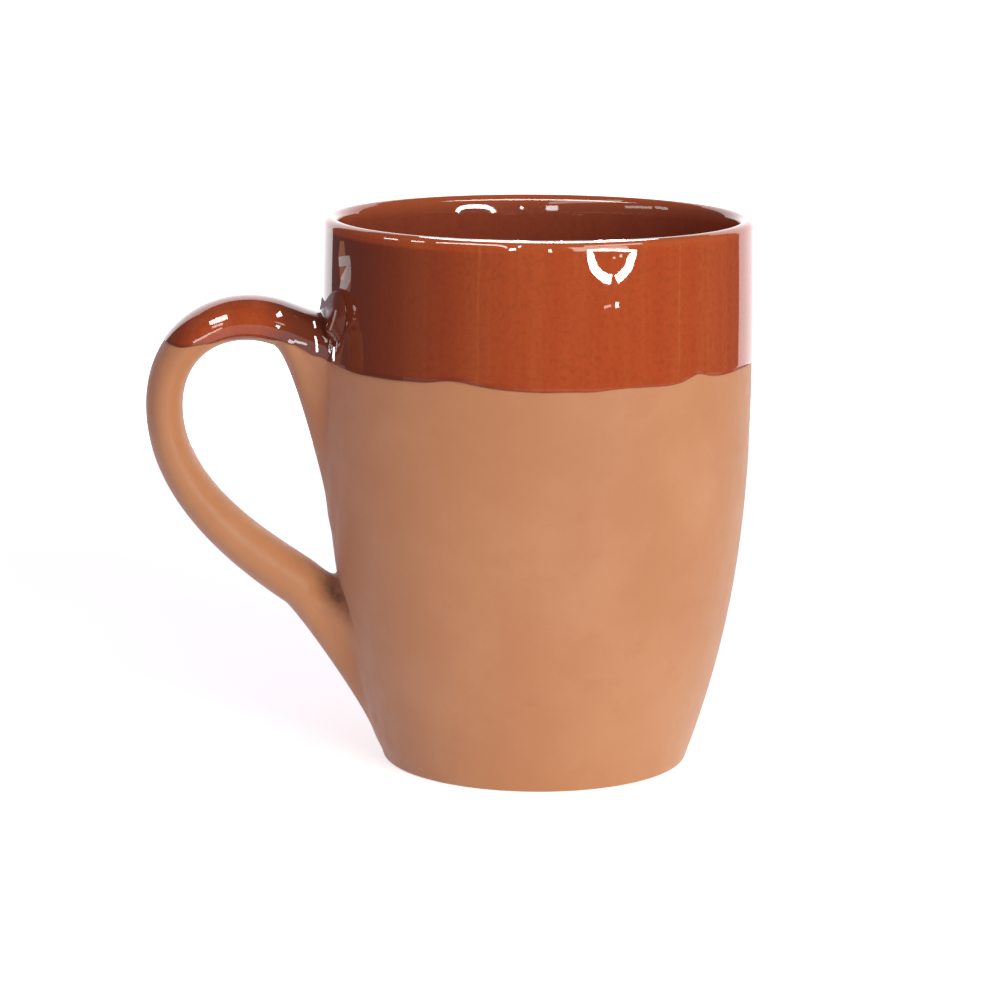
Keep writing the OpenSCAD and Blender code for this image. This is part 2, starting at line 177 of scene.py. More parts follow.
class MugGlaze(bpy.types.PropertyGroup):
    """Sizes of the lining, the dip and the collar"""
    depth: FloatProperty(
        name="Depth", description="Thickness of the fired glaze",
        default=0.3 * MM, unit="LENGTH")
    bead: FloatProperty(
        name="Bead", description="Width over which the dip line's edge rounds off",
        default=0.1 * MM, unit="LENGTH")
    dip_height: FloatProperty(
        name="Dip height", description="Height of the dip line on the body",
        default=80.75 * MM, unit="LENGTH")
    overlap: FloatProperty(
        name="Overlap", description="Distance that the dip reaches down inside the lip",
        default=3 * MM, unit="LENGTH")
    ripple: FloatProperty(
        name="Ripple", description="Height of the soft ripples in the glaze's surface",
        default=0.004 * MM, unit="LENGTH")
    collar_height: FloatProperty(
        name="Collar height", description="Height of the collar at the root's crown",
        default=0.6 * MM, unit="LENGTH")
    collar_side_height: FloatProperty(
        name="Collar side height", description="Height of the collar beside the strap",
        default=2.4 * MM, unit="LENGTH")
    collar_crown: FloatProperty(
        name="Collar crown", description="Width of the collar over the root's crown",
        default=3 * MM, unit="LENGTH")
    collar_side: FloatProperty(
        name="Collar side", description="Width of the collar beside the strap",
        default=1.6 * MM, unit="LENGTH")
    collar_ear: FloatProperty(
        name="Collar ear", description="Extra width of the collar's two ears",
        default=8.2 * MM, unit="LENGTH")


class MugColours(bpy.types.PropertyGroup):
    """Colours of the clay and the glaze"""
    clay: FloatVectorProperty(
        name="Clay", description="Fired terracotta", subtype="COLOR",
        default=(0.634, 0.282, 0.130))
    clay_pale: FloatVectorProperty(
        name="Pale clay", description="Paler bloom on the terracotta", subtype="COLOR",
        default=(0.678, 0.325, 0.163))
    clay_deep: FloatVectorProperty(
        name="Deep clay", description="Deeper spots in the terracotta", subtype="COLOR",
        default=(0.590, 0.258, 0.115))
    glaze: FloatVectorProperty(
        name="Glaze", description="Glaze of usual thickness", subtype="COLOR",
        default=(0.465, 0.072, 0.018))
    glaze_thin: FloatVectorProperty(
        name="Thin glaze", description="Glaze where it is thin over the clay", subtype="COLOR",
        default=(0.540, 0.120, 0.034))
    # Dark glaze, which is also drawn as painted shade on the dip beside the handle
    glaze_dark_and_shade: FloatVectorProperty(
        name="Pooled glaze", description="Glaze where it has pooled", subtype="COLOR",
        default=(0.160, 0.032, 0.015))
    lining: FloatVectorProperty(
        name="Lining", description="Glaze of the lining", subtype="COLOR",
        default=(0.300, 0.062, 0.031))
    # Painted shade: the dark corner inside the strap's lower root, drawn into the clay's colour
    clay_painted_shade: FloatVectorProperty(
        name="Stained clay", description="Scorched corner under the strap", subtype="COLOR",
        default=(0.170, 0.068, 0.038))


class MugStudio(bpy.types.PropertyGroup):
    """The camera and the light"""
    camera_distance: FloatProperty(
        name="Camera distance", description="Distance of the camera from the mug's axis",
        default=0.695, unit="LENGTH")
    camera_height: FloatProperty(
        name="Camera height", description="Height of the camera above the floor",
        default=0.1865, unit="LENGTH")
    camera_round: FloatProperty(
        name="Camera round", description="Turn of the camera towards the handle",
        default=math.radians(-7), subtype="ANGLE")
    camera_aim: FloatProperty(
        name="Camera aim", description="Turn of the camera away from the axis",
        default=math.radians(0.594), subtype="ANGLE")
    camera_pitch: FloatProperty(
        name="Camera pitch", description="Angle by which the camera looks down",
        default=math.radians(10.98), subtype="ANGLE")
    camera_roll: FloatProperty(
        name="Camera roll", description="Roll of the camera",
        default=math.radians(0.4), subtype="ANGLE")
    lens: FloatProperty(
        name="Lens", description="Focal length of the camera", default=128.2)
    ambient: FloatProperty(
        name="Ambient", description="Strength of the even light all round", default=0.40)
    mirrored: FloatProperty(
        name="Mirrored", description="Strength of the dark room that the glaze mirrors",
        default=0.12)
    key_turn: FloatProperty(
        name="Key turn", description="Turn of the key lamp to the right of the front",
        default=math.radians(25), subtype="ANGLE")
    key_rise: FloatProperty(
        name="Key rise", description="Angle of the key lamp above the mug",
        default=math.radians(17), subtype="ANGLE")
    key_power: FloatProperty(
        name="Key power", description="Power of the key lamp", default=5.4, unit="POWER")
    lip_strip_rise: FloatProperty(
        name="Lip strip rise", description="Height of the lit strip above the lip",
        default=40 * MM, unit="LENGTH")
    lip_strip_radii: FloatVectorProperty(
        name="Lip strip radii", description="Inner and outer radius of the lit strip",
        size=2, default=(1 * MM, 36 * MM), unit="LENGTH")
    lip_strip_turn: FloatProperty(
        name="Lip strip turn", description="How far round the mouth the lit strip reaches",
        default=math.radians(215), subtype="ANGLE")
    lip_strip_glow: FloatProperty(
        name="Lip strip glow", description="Brightness of the lit strip", default=20)
    floor_radius: FloatProperty(
        name="Floor radius", description="Radius of the pale round floor",
        default=0.36, unit="LENGTH")


def mix(low, high, share):
    return low + (high - low) * share


def clamp(value):
    """The value held between 0 and 1"""
    return min(1.0, max(0.0, value))


def smooth(share):
    held = clamp(share)
    return held * held * (3.0 - 2.0 * held)


def signed_power(value, exponent):
    return math.copysign(abs(value) ** exponent, value)


def arc(centre, radius, start, end, steps):
    """Points of an arc in the outline's plane, its first point left out"""
    turns = [mix(start, end, (i + 1) / steps) for i in range(steps)]
    return [centre + radius * Vector((math.cos(a), 0, math.sin(a))) for a in turns]


def bezier(a, b, c, d, steps):
    """Points of a curve, its first point left out"""
    return interpolate_bezier(a, b, c, d, steps + 1)[1:]


class TurnedOutline:
    """Outlines of the turned clay in the XZ plane, and places on its outside"""

    # Steps along each part of the outlines, and how far its curves run straight on
    EDGE_STEPS = 8
    LOWER_STEPS = 64
    UPPER_STEPS = 28
    LIP_STEPS = 20
    INNER_UPPER_STEPS = 24
    INNER_LOWER_STEPS = 48
    FLOOR_STEPS = 8
    DISH_STEPS = 48
    BEVEL_STEPS = 5
    FOOT_CURVE = 0.35
    BELLY_CURVE = 0.35
    INNER_RIM_CURVE = 0.22
    INNER_SHOULDER_CURVE = 0.5
    INNER_BELLY_CURVE = 0.56
    INNER_FLOOR_CURVE = 0.72
    LIP_LEAN_OUT = math.radians(1.8)
    LIP_LEAN_IN = math.radians(9)
    # The rounded edge of the dish under the foot, and the rings that the tool left in it
    DISH_BEVEL = 1.2 * MM
    TOOL_MARKS = 0.03 * MM

    def __init__(self, body):
        self.body = body
        self.belly = body.height - body.belly_drop
        inset = body.foot_edge * math.tan((math.pi / 2 - body.foot_lean) / 2)
        self.edge_centre = Vector((body.foot_radius - inset, 0, body.foot_edge))
        self.foot_edge = arc(self.edge_centre, body.foot_edge, -math.pi / 2, -body.foot_lean,
                             self.EDGE_STEPS)
        half = body.wall / 2
        lip_centre = Vector((body.rim_radius - half, 0, body.height - half))
        lean_out = self.LIP_LEAN_OUT
        rim = lip_centre + half * Vector((math.cos(lean_out), 0, math.sin(lean_out)))
        self.outside = self.outer_wall(self.foot_edge[-1], rim)
        self.heights = [p.z for p in self.outside]
        self.lip = arc(lip_centre, half, lean_out, math.pi - self.LIP_LEAN_IN, self.LIP_STEPS)
        self.inside = self.inner_wall(self.lip[-1])
        self.underside = self.dished_foot()

    def outer_wall(self, start, rim):
        """From the foot's edge over the widest ring up to the rim"""
        widest = Vector((self.body.belly_radius, 0, self.belly))
        foot_pull = self.FOOT_CURVE * self.belly * Vector((math.tan(self.body.foot_lean), 0, 1))
        belly_pull = Vector((widest.x, 0, self.belly * (1 - self.BELLY_CURVE)))
        lower = bezier(start, start + foot_pull, belly_pull, widest, self.LOWER_STEPS)
        third = (rim.z - self.belly) / 3
        lean_out = self.LIP_LEAN_OUT
        rim_pull = third * Vector((math.sin(lean_out), 0, -math.cos(lean_out)))
        upper = bezier(widest, widest + Vector((0, 0, third)), rim + rim_pull, rim,
                       self.UPPER_STEPS)
        return [start] + lower + upper

    def inner_wall(self, rim):
        """From the lip down the inside and over the floor to the axis"""
        body = self.body
        widest = Vector((body.belly_radius - body.wall, 0, self.belly))
        rise = rim.z - self.belly
        lean_in = Vector((-math.sin(self.LIP_LEAN_IN), 0, -math.cos(self.LIP_LEAN_IN)))
        points = bezier(
            rim, rim + rise * self.INNER_RIM_CURVE * lean_in,
            widest + Vector((0, 0, rise * self.INNER_SHOULDER_CURVE)), widest,
            self.INNER_UPPER_STEPS)
        low = mix(self.belly, body.floor, self.INNER_BELLY_CURVE)
        far = mix(body.floor_flat, widest.x, self.INNER_FLOOR_CURVE)
        points += bezier(
            widest, Vector((widest.x, 0, low)), Vector((far, 0, body.floor)),
            Vector((body.floor_flat, 0, body.floor)), self.INNER_LOWER_STEPS)
        points += [Vector((body.floor_flat * (1 - i / self.FLOOR_STEPS), 0, body.floor))
                   for i in range(1, self.FLOOR_STEPS + 1)]
        return points

    def dished_foot(self):
        """From the axis under the foot, over faint tool marks, to the ring it stands on"""
        dish = self.body.dish
        radius = self.edge_centre.x - self.body.foot_ring
        points = [
            Vector((radius * i / self.DISH_STEPS, 0,
                    dish + self.TOOL_MARKS * math.cos(i * math.pi)))
            for i in range(self.DISH_STEPS - 1)]
        for i in range(self.BEVEL_STEPS + 1):
            share = i / self.BEVEL_STEPS
            points.append(Vector((radius + self.DISH_BEVEL * (share - 0.5), 0,
                                  dish * (1 - smooth(share)))))
        return points + [Vector((self.edge_centre.x, 0, 0))]

    def radius(self, height):
        """Radius of the clay's outside at a height"""
        above = min(len(self.heights) - 1, max(1, bisect_right(self.heights, height)))
        low, high = self.outside[above - 1], self.outside[above]
        return mix(low.x, high.x, clamp((height - low.z) / (high.z - low.z)))

    def beside_handle(self, aside, height, proud=0.0):
        """Point on the handle's side of the wall, proud of its surface"""
        radius = self.radius(height) + proud
        return Vector((-math.sqrt(radius * radius - aside * aside), aside, height))


class Bow:
    """Half of the strap's centre line, a curve in the XZ plane"""

    def __init__(self, start, start_pull, end_pull, end):
        self.points = (start, start_pull, end_pull, end)

    def at(self, share):
        a, b, c, d = self.points
        rest = 1 - share
        return (rest ** 3 * a + 3 * rest ** 2 * share * b
                + 3 * rest * share ** 2 * c + share ** 3 * d)

    def along(self, share):
        a, b, c, d = self.points
        rest = 1 - share
        slope = rest ** 2 * (b - a) + 2 * rest * share * (c - b) + share ** 2 * (d - c)
        return slope.normalized()


class Root:
    """One pressed-on end of the strap: its outline on the wall, how far its outer and inner
    face follow the strap and the wall, and where its crease turns into a feathered edge"""

    SQUARENESS = 2.5

    def __init__(self, end, width, outer, middle, inner, strap_pull, wall_pull, crease, soft,
                 feather):
        self.end = end
        self.width = width
        self.outer = outer
        self.middle = middle
        self.inner = inner
        self.strap_pull = strap_pull
        self.wall_pull = wall_pull
        self.crease = crease
        self.soft = soft
        self.feather = feather

    def outline(self, turn):
        """Place on the wall at a turn, and the way out from the root there"""
        reach = (self.outer if math.cos(turn) > 0 else self.inner) - self.middle
        half = self.width / 2
        power = 2 / self.SQUARENESS
        across, up = signed_power(math.sin(turn), power), abs(math.cos(turn)) ** power
        place = Vector((half * across, self.middle + up * reach))
        away = Vector((signed_power(math.sin(turn), 2 - power) / half,
                       abs(math.cos(turn)) ** (2 - power) / reach)).normalized()
        return place, away

    def run_out(self, height):
        """How far the root runs out along the wall there, from 0, a crease, to 1"""
        return smooth((self.crease - height) / (self.crease - self.soft))


class PulledHandle:
    """Surface of the handle: the strap, and each root down to the wall"""

    SQUARENESS = 2.1
    # How far each half of the strap's line runs straight on from its two ends
    UPPER_BENDS = (0.50, 0.87)
    LOWER_BENDS = (0.50, 0.36)
    # How much of a root's width the strap takes on at its end, and over what share of it
    FLARE = 0.4
    FLARE_RUN = 1 / 3
    # The lower root's crease ends above its middle, the upper one's at its middle. Then how
    # far below the middle the edge is soft, and how wide the soft edge is
    LOWER_CREASE = 2 * MM
    UPPER_SOFT = 8 * MM
    LOWER_SOFT = 9 * MM
    UPPER_FEATHER = 6 * MM
    LOWER_FEATHER = 4 * MM
    FEATHER_HEIGHT = 0.4 * MM
    SINK = 0.05 * MM
    # Rings under a root, as shares of its outline: on the slip, then just inside the wall
    CAP_SHARES = (0.12, 0.3, 0.48, 0.66, 0.8, 0.9)
    CAP_PROUD = 0.34 * MM
    CAP_EDGE_SHARE = 0.96
    CAP_EDGE_PROUD = -0.1 * MM
    FILLET_ROWS = 9
    ROOT_ROWS = 30
    # The painted shade in the corner inside the lower root, and the thumb's press there, seen from
    # the side
    CORNER_SHADE_PLACE = Vector((-40.3 * MM, 34.4 * MM))
    CORNER_SHADE_RUN = Vector((0.64, -0.768))
    CORNER_SHADE_LENGTH = 4.2 * MM
    CORNER_SHADE_WIDTH = 1.7 * MM
    CORNER_SHADE_STRENGTH = 0.95
    PRESS_PLACE = Vector((-41.7 * MM, 35.0 * MM))
    PRESS_RADIUS = 2.8 * MM
    PRESS_DEPTH = 3.2 * MM
    PRESS_HALF_WIDTH = 6 * MM

    def __init__(self, wall, sizes):
        self.wall = wall
        self.sizes = sizes
        out = sizes.reach - sizes.middle_thick / 2
        upper_end = Vector((-sizes.upper_off, 0, sizes.upper_height))
        middle = Vector((-out, 0, sizes.out_height))
        lower_end = Vector((-sizes.lower_off, 0, sizes.lower_height))
        climb = Vector((-math.cos(sizes.upper_climb), 0, math.sin(sizes.upper_climb)))
        slope = Vector((-math.cos(sizes.lower_slope), 0, math.sin(sizes.lower_slope)))
        self.upper = Bow(
            upper_end,
            upper_end + (out - sizes.upper_off) * self.UPPER_BENDS[0] * climb,
            middle + Vector((0, 0, (upper_end.z - middle.z) * self.UPPER_BENDS[1])),
            middle)
        self.lower = Bow(
            middle,
            middle - Vector((0, 0, (middle.z - lower_end.z) * self.LOWER_BENDS[0])),
            lower_end + (out - sizes.lower_off) * self.LOWER_BENDS[1] * slope,
            lower_end)
        upper, lower = sizes.upper_root_middle, sizes.lower_root_middle
        self.upper_root = Root(
            end=0, width=sizes.upper_root_width, outer=sizes.upper_root_top, middle=upper,
            inner=sizes.upper_root_foot, strap_pull=(0.7, 0.28), wall_pull=(0.5, 0.9),
            crease=upper, soft=upper - self.UPPER_SOFT, feather=self.UPPER_FEATHER)
        self.lower_root = Root(
            end=1, width=sizes.lower_root_width, outer=sizes.lower_root_foot, middle=lower,
            inner=sizes.lower_root_top, strap_pull=(0.25, 0.8), wall_pull=(0.6, 0.6),
            crease=lower + self.LOWER_CREASE, soft=lower - self.LOWER_SOFT,
            feather=self.LOWER_FEATHER)

    def frame_at(self, share):
        """Centre, direction and outward direction of the strap"""
        bow, local = (self.upper, 2 * share) if share < 0.5 else (self.lower, 2 * share - 1)
        along = bow.along(local)
        return bow.at(local), along, Vector((along.z, 0, -along.x))

    def half_thick(self, share):
        sizes = self.sizes
        if share < 0.5:
            return mix(sizes.upper_thick, sizes.middle_thick, smooth(2 * share)) / 2
        return mix(sizes.middle_thick, sizes.lower_thick, smooth(2 * share - 1)) / 2

    def half_width(self, share):
        sizes = self.sizes
        near_end = smooth(1 - min(share, 1 - share) / self.FLARE_RUN)
        root = sizes.upper_root_width if share < 0.5 else sizes.lower_root_width
        return mix(sizes.width, root, self.FLARE * near_end) / 2

    def strap(self, share, turn):
        """Point round the strap at a share of its length"""
        centre, _, outward = self.frame_at(share)
        power = 2 / self.SQUARENESS
        point = centre + outward * self.half_thick(share) * signed_power(math.cos(turn), power)
        point.y = self.half_width(share) * signed_power(math.sin(turn), power)
        return point

    def root(self, root, share, turn):
        """Point between the strap's end, share 0, and the fillet's top on the wall, share 1"""
        start = self.strap(root.end, turn)
        place, away = root.outline(turn)
        run_out = root.run_out(place.y)
        fillet = mix(self.sizes.fillet, self.FEATHER_HEIGHT, run_out)
        end = self.wall.beside_handle(place.x, place.y, fillet)
        reach = (end - start).length
        face = (1 - math.cos(turn)) / 2
        along = self.frame_at(root.end)[1] * (-1 if root.end == 0 else 1)
        near = self.wall.beside_handle(place.x + away.x * MM, place.y + away.y * MM, fillet)
        across = (near - end).normalized()
        inward = Vector((-end.x, -end.y, 0)).normalized()
        start_pull = reach * mix(*root.strap_pull, face) * along
        end_pull = reach * mix(*root.wall_pull, face) * mix(inward, across, run_out).normalized()
        t = share
        return ((2 * t ** 3 - 3 * t ** 2 + 1) * start + (t ** 3 - 2 * t ** 2 + t) * start_pull
                + (3 * t ** 2 - 2 * t ** 3) * end + (t ** 3 - t ** 2) * end_pull)

    def fillet(self, root, share, turn):
        """Point on the wiped edge, from its top, share 0, to the wall, share 1: a fillet at
        a crease, and a long feathered edge where the root runs out along the wall"""
        place, away = root.outline(turn)
        run_out = root.run_out(place.y)
        radius = self.sizes.fillet
        angle = share * math.pi / 2
        aside = mix(radius * (1 - math.cos(angle)), root.feather * share, run_out)
        proud = mix(radius * (1 - math.sin(angle)),
                    self.FEATHER_HEIGHT * (1 - smooth(share)), run_out)
        flat = place + away * aside
        return self.wall.beside_handle(flat.x, flat.y, proud - self.SINK * share)

    def cap(self, root, share, turn, proud):
        """Point of the root's underside, proud of the wall"""
        flat = Vector((0, root.middle)).lerp(root.outline(turn)[0], share)
        return self.wall.beside_handle(flat.x, flat.y, proud)

    def root_rings(self, root):
        """Rings of a root, from the middle of its underside to the strap"""
        rings = [lambda turn, k=k: self.cap(root, k, turn, self.CAP_PROUD)
                 for k in self.CAP_SHARES]
        rings.append(
            lambda turn: self.cap(root, self.CAP_EDGE_SHARE, turn, self.CAP_EDGE_PROUD))
        rings += [lambda turn, k=k: self.fillet(root, 1 - k / self.FILLET_ROWS, turn)
                  for k in range(self.FILLET_ROWS)]
        rings += [lambda turn, k=k: self.root(root, 1 - k / self.ROOT_ROWS, turn)
                  for k in range(self.ROOT_ROWS)]
        return rings

    def rings(self):
        """Rings of the handle, from the upper root's underside to the lower one's"""
        rows = self.sizes.rows
        strap = [lambda turn, k=k: self.strap(k / rows, turn) for k in range(rows + 1)]
        return self.root_rings(self.upper_root) + strap + self.root_rings(self.lower_root)[::-1]

    def stain(self, point):
        """How much painted shade a point of the corner inside the lower root gets"""
        off = Vector((point.x, point.z)) - self.CORNER_SHADE_PLACE
        along = off.dot(self.CORNER_SHADE_RUN) / self.CORNER_SHADE_LENGTH
        across = off.cross(self.CORNER_SHADE_RUN) / self.CORNER_SHADE_WIDTH
        return self.CORNER_SHADE_STRENGTH * math.exp(-along ** 2 - across ** 2)

    def press(self, point):
        """Moves a point of the strap's side in where a thumb pressed the corner"""
        off = (Vector((point.x, point.z)) - self.PRESS_PLACE).length / self.PRESS_RADIUS
        full = self.PRESS_DEPTH * math.exp(-off * off)
        depth = full * smooth(abs(point.y) / self.PRESS_HALF_WIDTH)
        point.y -= math.copysign(depth, point.y)


# Points that are nearer than this are one point, in a turned surface and in any piece
SPIN_MERGE = 0.001 * MM
MERGE = 0.002 * MM


def ripples(point, height, grain):
    """Soft unevenness of a surface at a point, the same on each run"""
    return height * noise.noise(point / grain)


def new_object(bm, name, material):
    """An object at the origin with the finished mesh and its material"""
    mesh = bpy.data.meshes.new(name)
    bm.to_mesh(mesh)
    bm.free()
    mesh.materials.append(material)
    piece = bpy.data.objects.new(name, mesh)
    bpy.context.scene.collection.objects.link(piece)
    return piece


def finish_piece(bm, name, material, slot, *nodes):
    """Makes a finished piece of the mesh, which rides on the mug and stands for the nodes"""
    bmesh.ops.remove_doubles(bm, verts=bm.verts, dist=MERGE)
    bmesh.ops.recalc_face_normals(bm, faces=bm.faces)
    for face in bm.faces:
        face.smooth = True
    piece = new_object(bm, name, material)
    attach(piece, "root")
    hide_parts(*nodes)


def spin_outline(outline, turns):
    """A mesh turned from an outline in the XZ plane"""
    bm = bmesh.new()
    verts = [bm.verts.new(p) for p in outline]
    edges = [bm.edges.new(pair) for pair in zip(verts, verts[1:])]
    bmesh.ops.spin(bm, geom=verts + edges, cent=(0, 0, 0), axis=(0, 0, 1),
                   angle=2 * math.pi, steps=turns, use_merge=True)
    bmesh.ops.remove_doubles(bm, verts=bm.verts, dist=SPIN_MERGE)
    return bm


def extrude_rings(sides, places):
    """A tube extruded ring by ring; each place gives a ring's point at a turn"""
    bm = bmesh.new()
    turn = bm.verts.layers.float.new("turn")
    row = bm.verts.layers.int.new("row")
    # How much painted shade each point of the lower root's corner gets
    bm.verts.layers.float.new("stain")
    ring = bmesh.ops.create_circle(bm, segments=sides, radius=1.0)["verts"]
    for i, vert in enumerate(ring):
        vert[turn] = 2 * math.pi * i / sides
    edges = list(bm.edges)
    for count, place in enumerate(places):
        if count:
            grown = bmesh.ops.extrude_edge_only(bm, edges=edges)["geom"]
            ring = [g for g in grown if isinstance(g, bmesh.types.BMVert)]
            fresh = set(ring)
            edges = [g for g in grown if isinstance(g, bmesh.types.BMEdge)
                     and g.verts[0] in fresh and g.verts[1] in fresh]
        for vert in ring:
            vert.co = place(vert[turn])
            vert[row] = count
    return bm


def close_ends(bm):
    """Closes both ends of a tube at their middles"""
    ends = [e for e in bm.edges if e.is_boundary]
    bmesh.ops.holes_fill(bm, edges=ends)
    faces = [f for f in bm.faces if len(f.verts) > 4]
    bmesh.ops.poke(bm, faces=faces)


def face_along(bm, axis, sense):
    """Turns a surface over where its outermost face along an axis looks the other way"""
    bmesh.ops.recalc_face_normals(bm, faces=bm.faces)
    outermost = max(bm.faces, key=lambda f: f.calc_center_median()[axis])
    if outermost.normal[axis] * sense < 0:
        bmesh.ops.reverse_faces(bm, faces=bm.faces)


# Sags and rises of the body's dip line: turn in degrees, height in millimetres and spread
# in degrees
DIP_SAGS = (
    (-166, 0.4, 9), (-149, -0.1, 5), (-131, 0.1, 5), (-119, 0.9, 7), (-97, -0.55, 10),
    (-83, -0.5, 8), (-62, -0.35, 9), (-51, 1.2, 5), (-28, 0.2, 12), (8, -0.6, 10),
    (34, 0.5, 9), (61, -0.3, 8), (84, 0.6, 10), (112, -0.5, 9), (140, 0.4, 8), (165, 0.3, 7))
# The handle's dip line: distance from the axis and height, both in millimetres
HANDLE_DIP = (
    (42.0, 81.2), (44.6, 82.3), (48.9, 84.4), (51.8, 85.3), (56.0, 85.75), (61.0, 85.5),
    (65.5, 84.8), (70.5, 84.05), (73.5, 84.6), (78.0, 84.9))
FINE_WAVE = 0.09 * MM
FINE_WAVE_GRAIN = 4.5 * MM
# Rows of points in the rounded edge over the dip line, from its top down
BEAD_SHARES = (1.0, 0.75, 0.5, 0.3, 0.15, 0.05)
BEAD_LEAST_SHARE = 0.03
BEAD_ROUNDNESS = 0.7
SETTLING_STEPS = 3


def body_dip(point, usual_height):
    """Height of the dip line on the body, below or above a point"""
    turn = math.degrees(math.atan2(point.y, point.x))
    height = usual_height
    for place, rise, spread in DIP_SAGS:
        off = (turn - place + 180) % 360 - 180
        height += rise * MM * math.exp(-(off / spread) ** 2)
    flat = Vector((point.x, point.y, 0))
    return height + ripples(flat, FINE_WAVE, FINE_WAVE_GRAIN)


def handle_dip(point):
    """Height of the dip line on the handle, below or above a point"""
    reach = math.hypot(point.x, point.y) / MM
    line = HANDLE_DIP
    height = line[-1][1] if reach > line[0][0] else line[0][1]
    for (near, low), (far, high) in zip(line, line[1:]):
        if near <= reach < far:
            height = mix(low, high, smooth((reach - near) / (far - near)))
    return height * MM + ripples(point, FINE_WAVE, FINE_WAVE_GRAIN)


def keep_above_dip(bm, dip, bead):
    """Cuts a surface along its dip line, with rows of points along the bead above it, and
    gives each point's rise above the line"""
    heights = {v: dip(v.co) for v in bm.verts}
    for vert, height in heights.items():
        vert.co.z -= height
    for share in (*BEAD_SHARES, 0.0):
        bmesh.ops.bisect_plane(bm, geom=bm.verts[:] + bm.edges[:] + bm.faces[:],
                               plane_co=(0, 0, share * bead), plane_no=(0, 0, 1),
                               clear_inner=share == 0.0)
    rises = {v: v.co.z for v in bm.verts}
    for vert, rise in rises.items():
        height = 0.0
        for _ in range(SETTLING_STEPS):
            height = dip(Vector((vert.co.x, vert.co.y, rise + height)))
        vert.co.z += height
    return rises


def bead_height(rise, glaze):
    """Height of the glaze above the clay, at a rise above its dip line"""
    full = math.sin(math.pi / 2 * clamp(rise / glaze.bead)) ** BEAD_ROUNDNESS
    return glaze.depth * max(BEAD_LEAST_SHARE, full)


def skin_layers(bm):
    """The layers of a glaze skin: how deep the glaze looks, a value that also carries painted shade,
    and its height
    """
    bm.verts.layers.float_vector.new("lift")
    bm.verts.layers.float.new("height")
    bm.verts.layers.float.new("glaze_depth")
    return bm.verts.layers.float["glaze_depth"], bm.verts.layers.float["height"]


def raise_skin(bm):
    """Gives a surface its glaze: the surface stays as the underside of a closed skin"""
    lift = bm.verts.layers.float_vector["lift"]
    height = bm.verts.layers.float["height"]
    bm.normal_update()
    for vert in bm.verts:
        vert[lift] = vert.normal * vert[height]
    grown = bmesh.ops.extrude_face_region(bm, geom=bm.faces[:], use_keep_orig=True)["geom"]
    for item in grown:
        if isinstance(item, bmesh.types.BMVert):
            item.co += item[lift]
    bm.verts.layers.float_vector.remove(lift)
    bm.verts.layers.float.remove(bm.verts.layers.float["height"])


class NodeGraph:
    """Short ways to build the nodes of a material or of the world"""

    def __init__(self, owner):
        owner.use_nodes = True
        self.owner = owner
        self.nodes = owner.node_tree.nodes
        self.links = owner.node_tree.links

    def set(self, socket, value):
        """Links a socket to another one, or gives it a plain value; a colour gets its alpha"""
        if isinstance(value, bpy.types.NodeSocket):
            self.links.new(value, socket)
        elif socket.type == "RGBA":
            socket.default_value = (*value, 1.0)
        else:
            socket.default_value = value

    def fill(self, node, inputs):
        for name, value in inputs.items():
            self.set(node.inputs[name], value)

    def add(self, kind, inputs, **settings):
        """A new node with its settings, and a link or a plain value for its inputs"""
        node = self.nodes.new(kind)
        for name, value in settings.items():
            setattr(node, name, value)
        self.fill(node, inputs)
        return node

    def maths(self, operation, first, second):
        node = self.add("ShaderNodeMath", {0: first, 1: second}, operation=operation)
        return node.outputs["Value"]

    def blend(self, factor, first, second, data_type="RGBA"):
        """Mix of two colours or numbers, each a socket or a plain value"""
        node = self.add("ShaderNodeMix", {}, data_type=data_type)
        for name, value in (("Factor", factor), ("A", first), ("B", second)):
            socket = [s for s in node.inputs if s.name == name and s.enabled][0]
            self.set(socket, value)
        return [s for s in node.outputs if s.enabled][0]


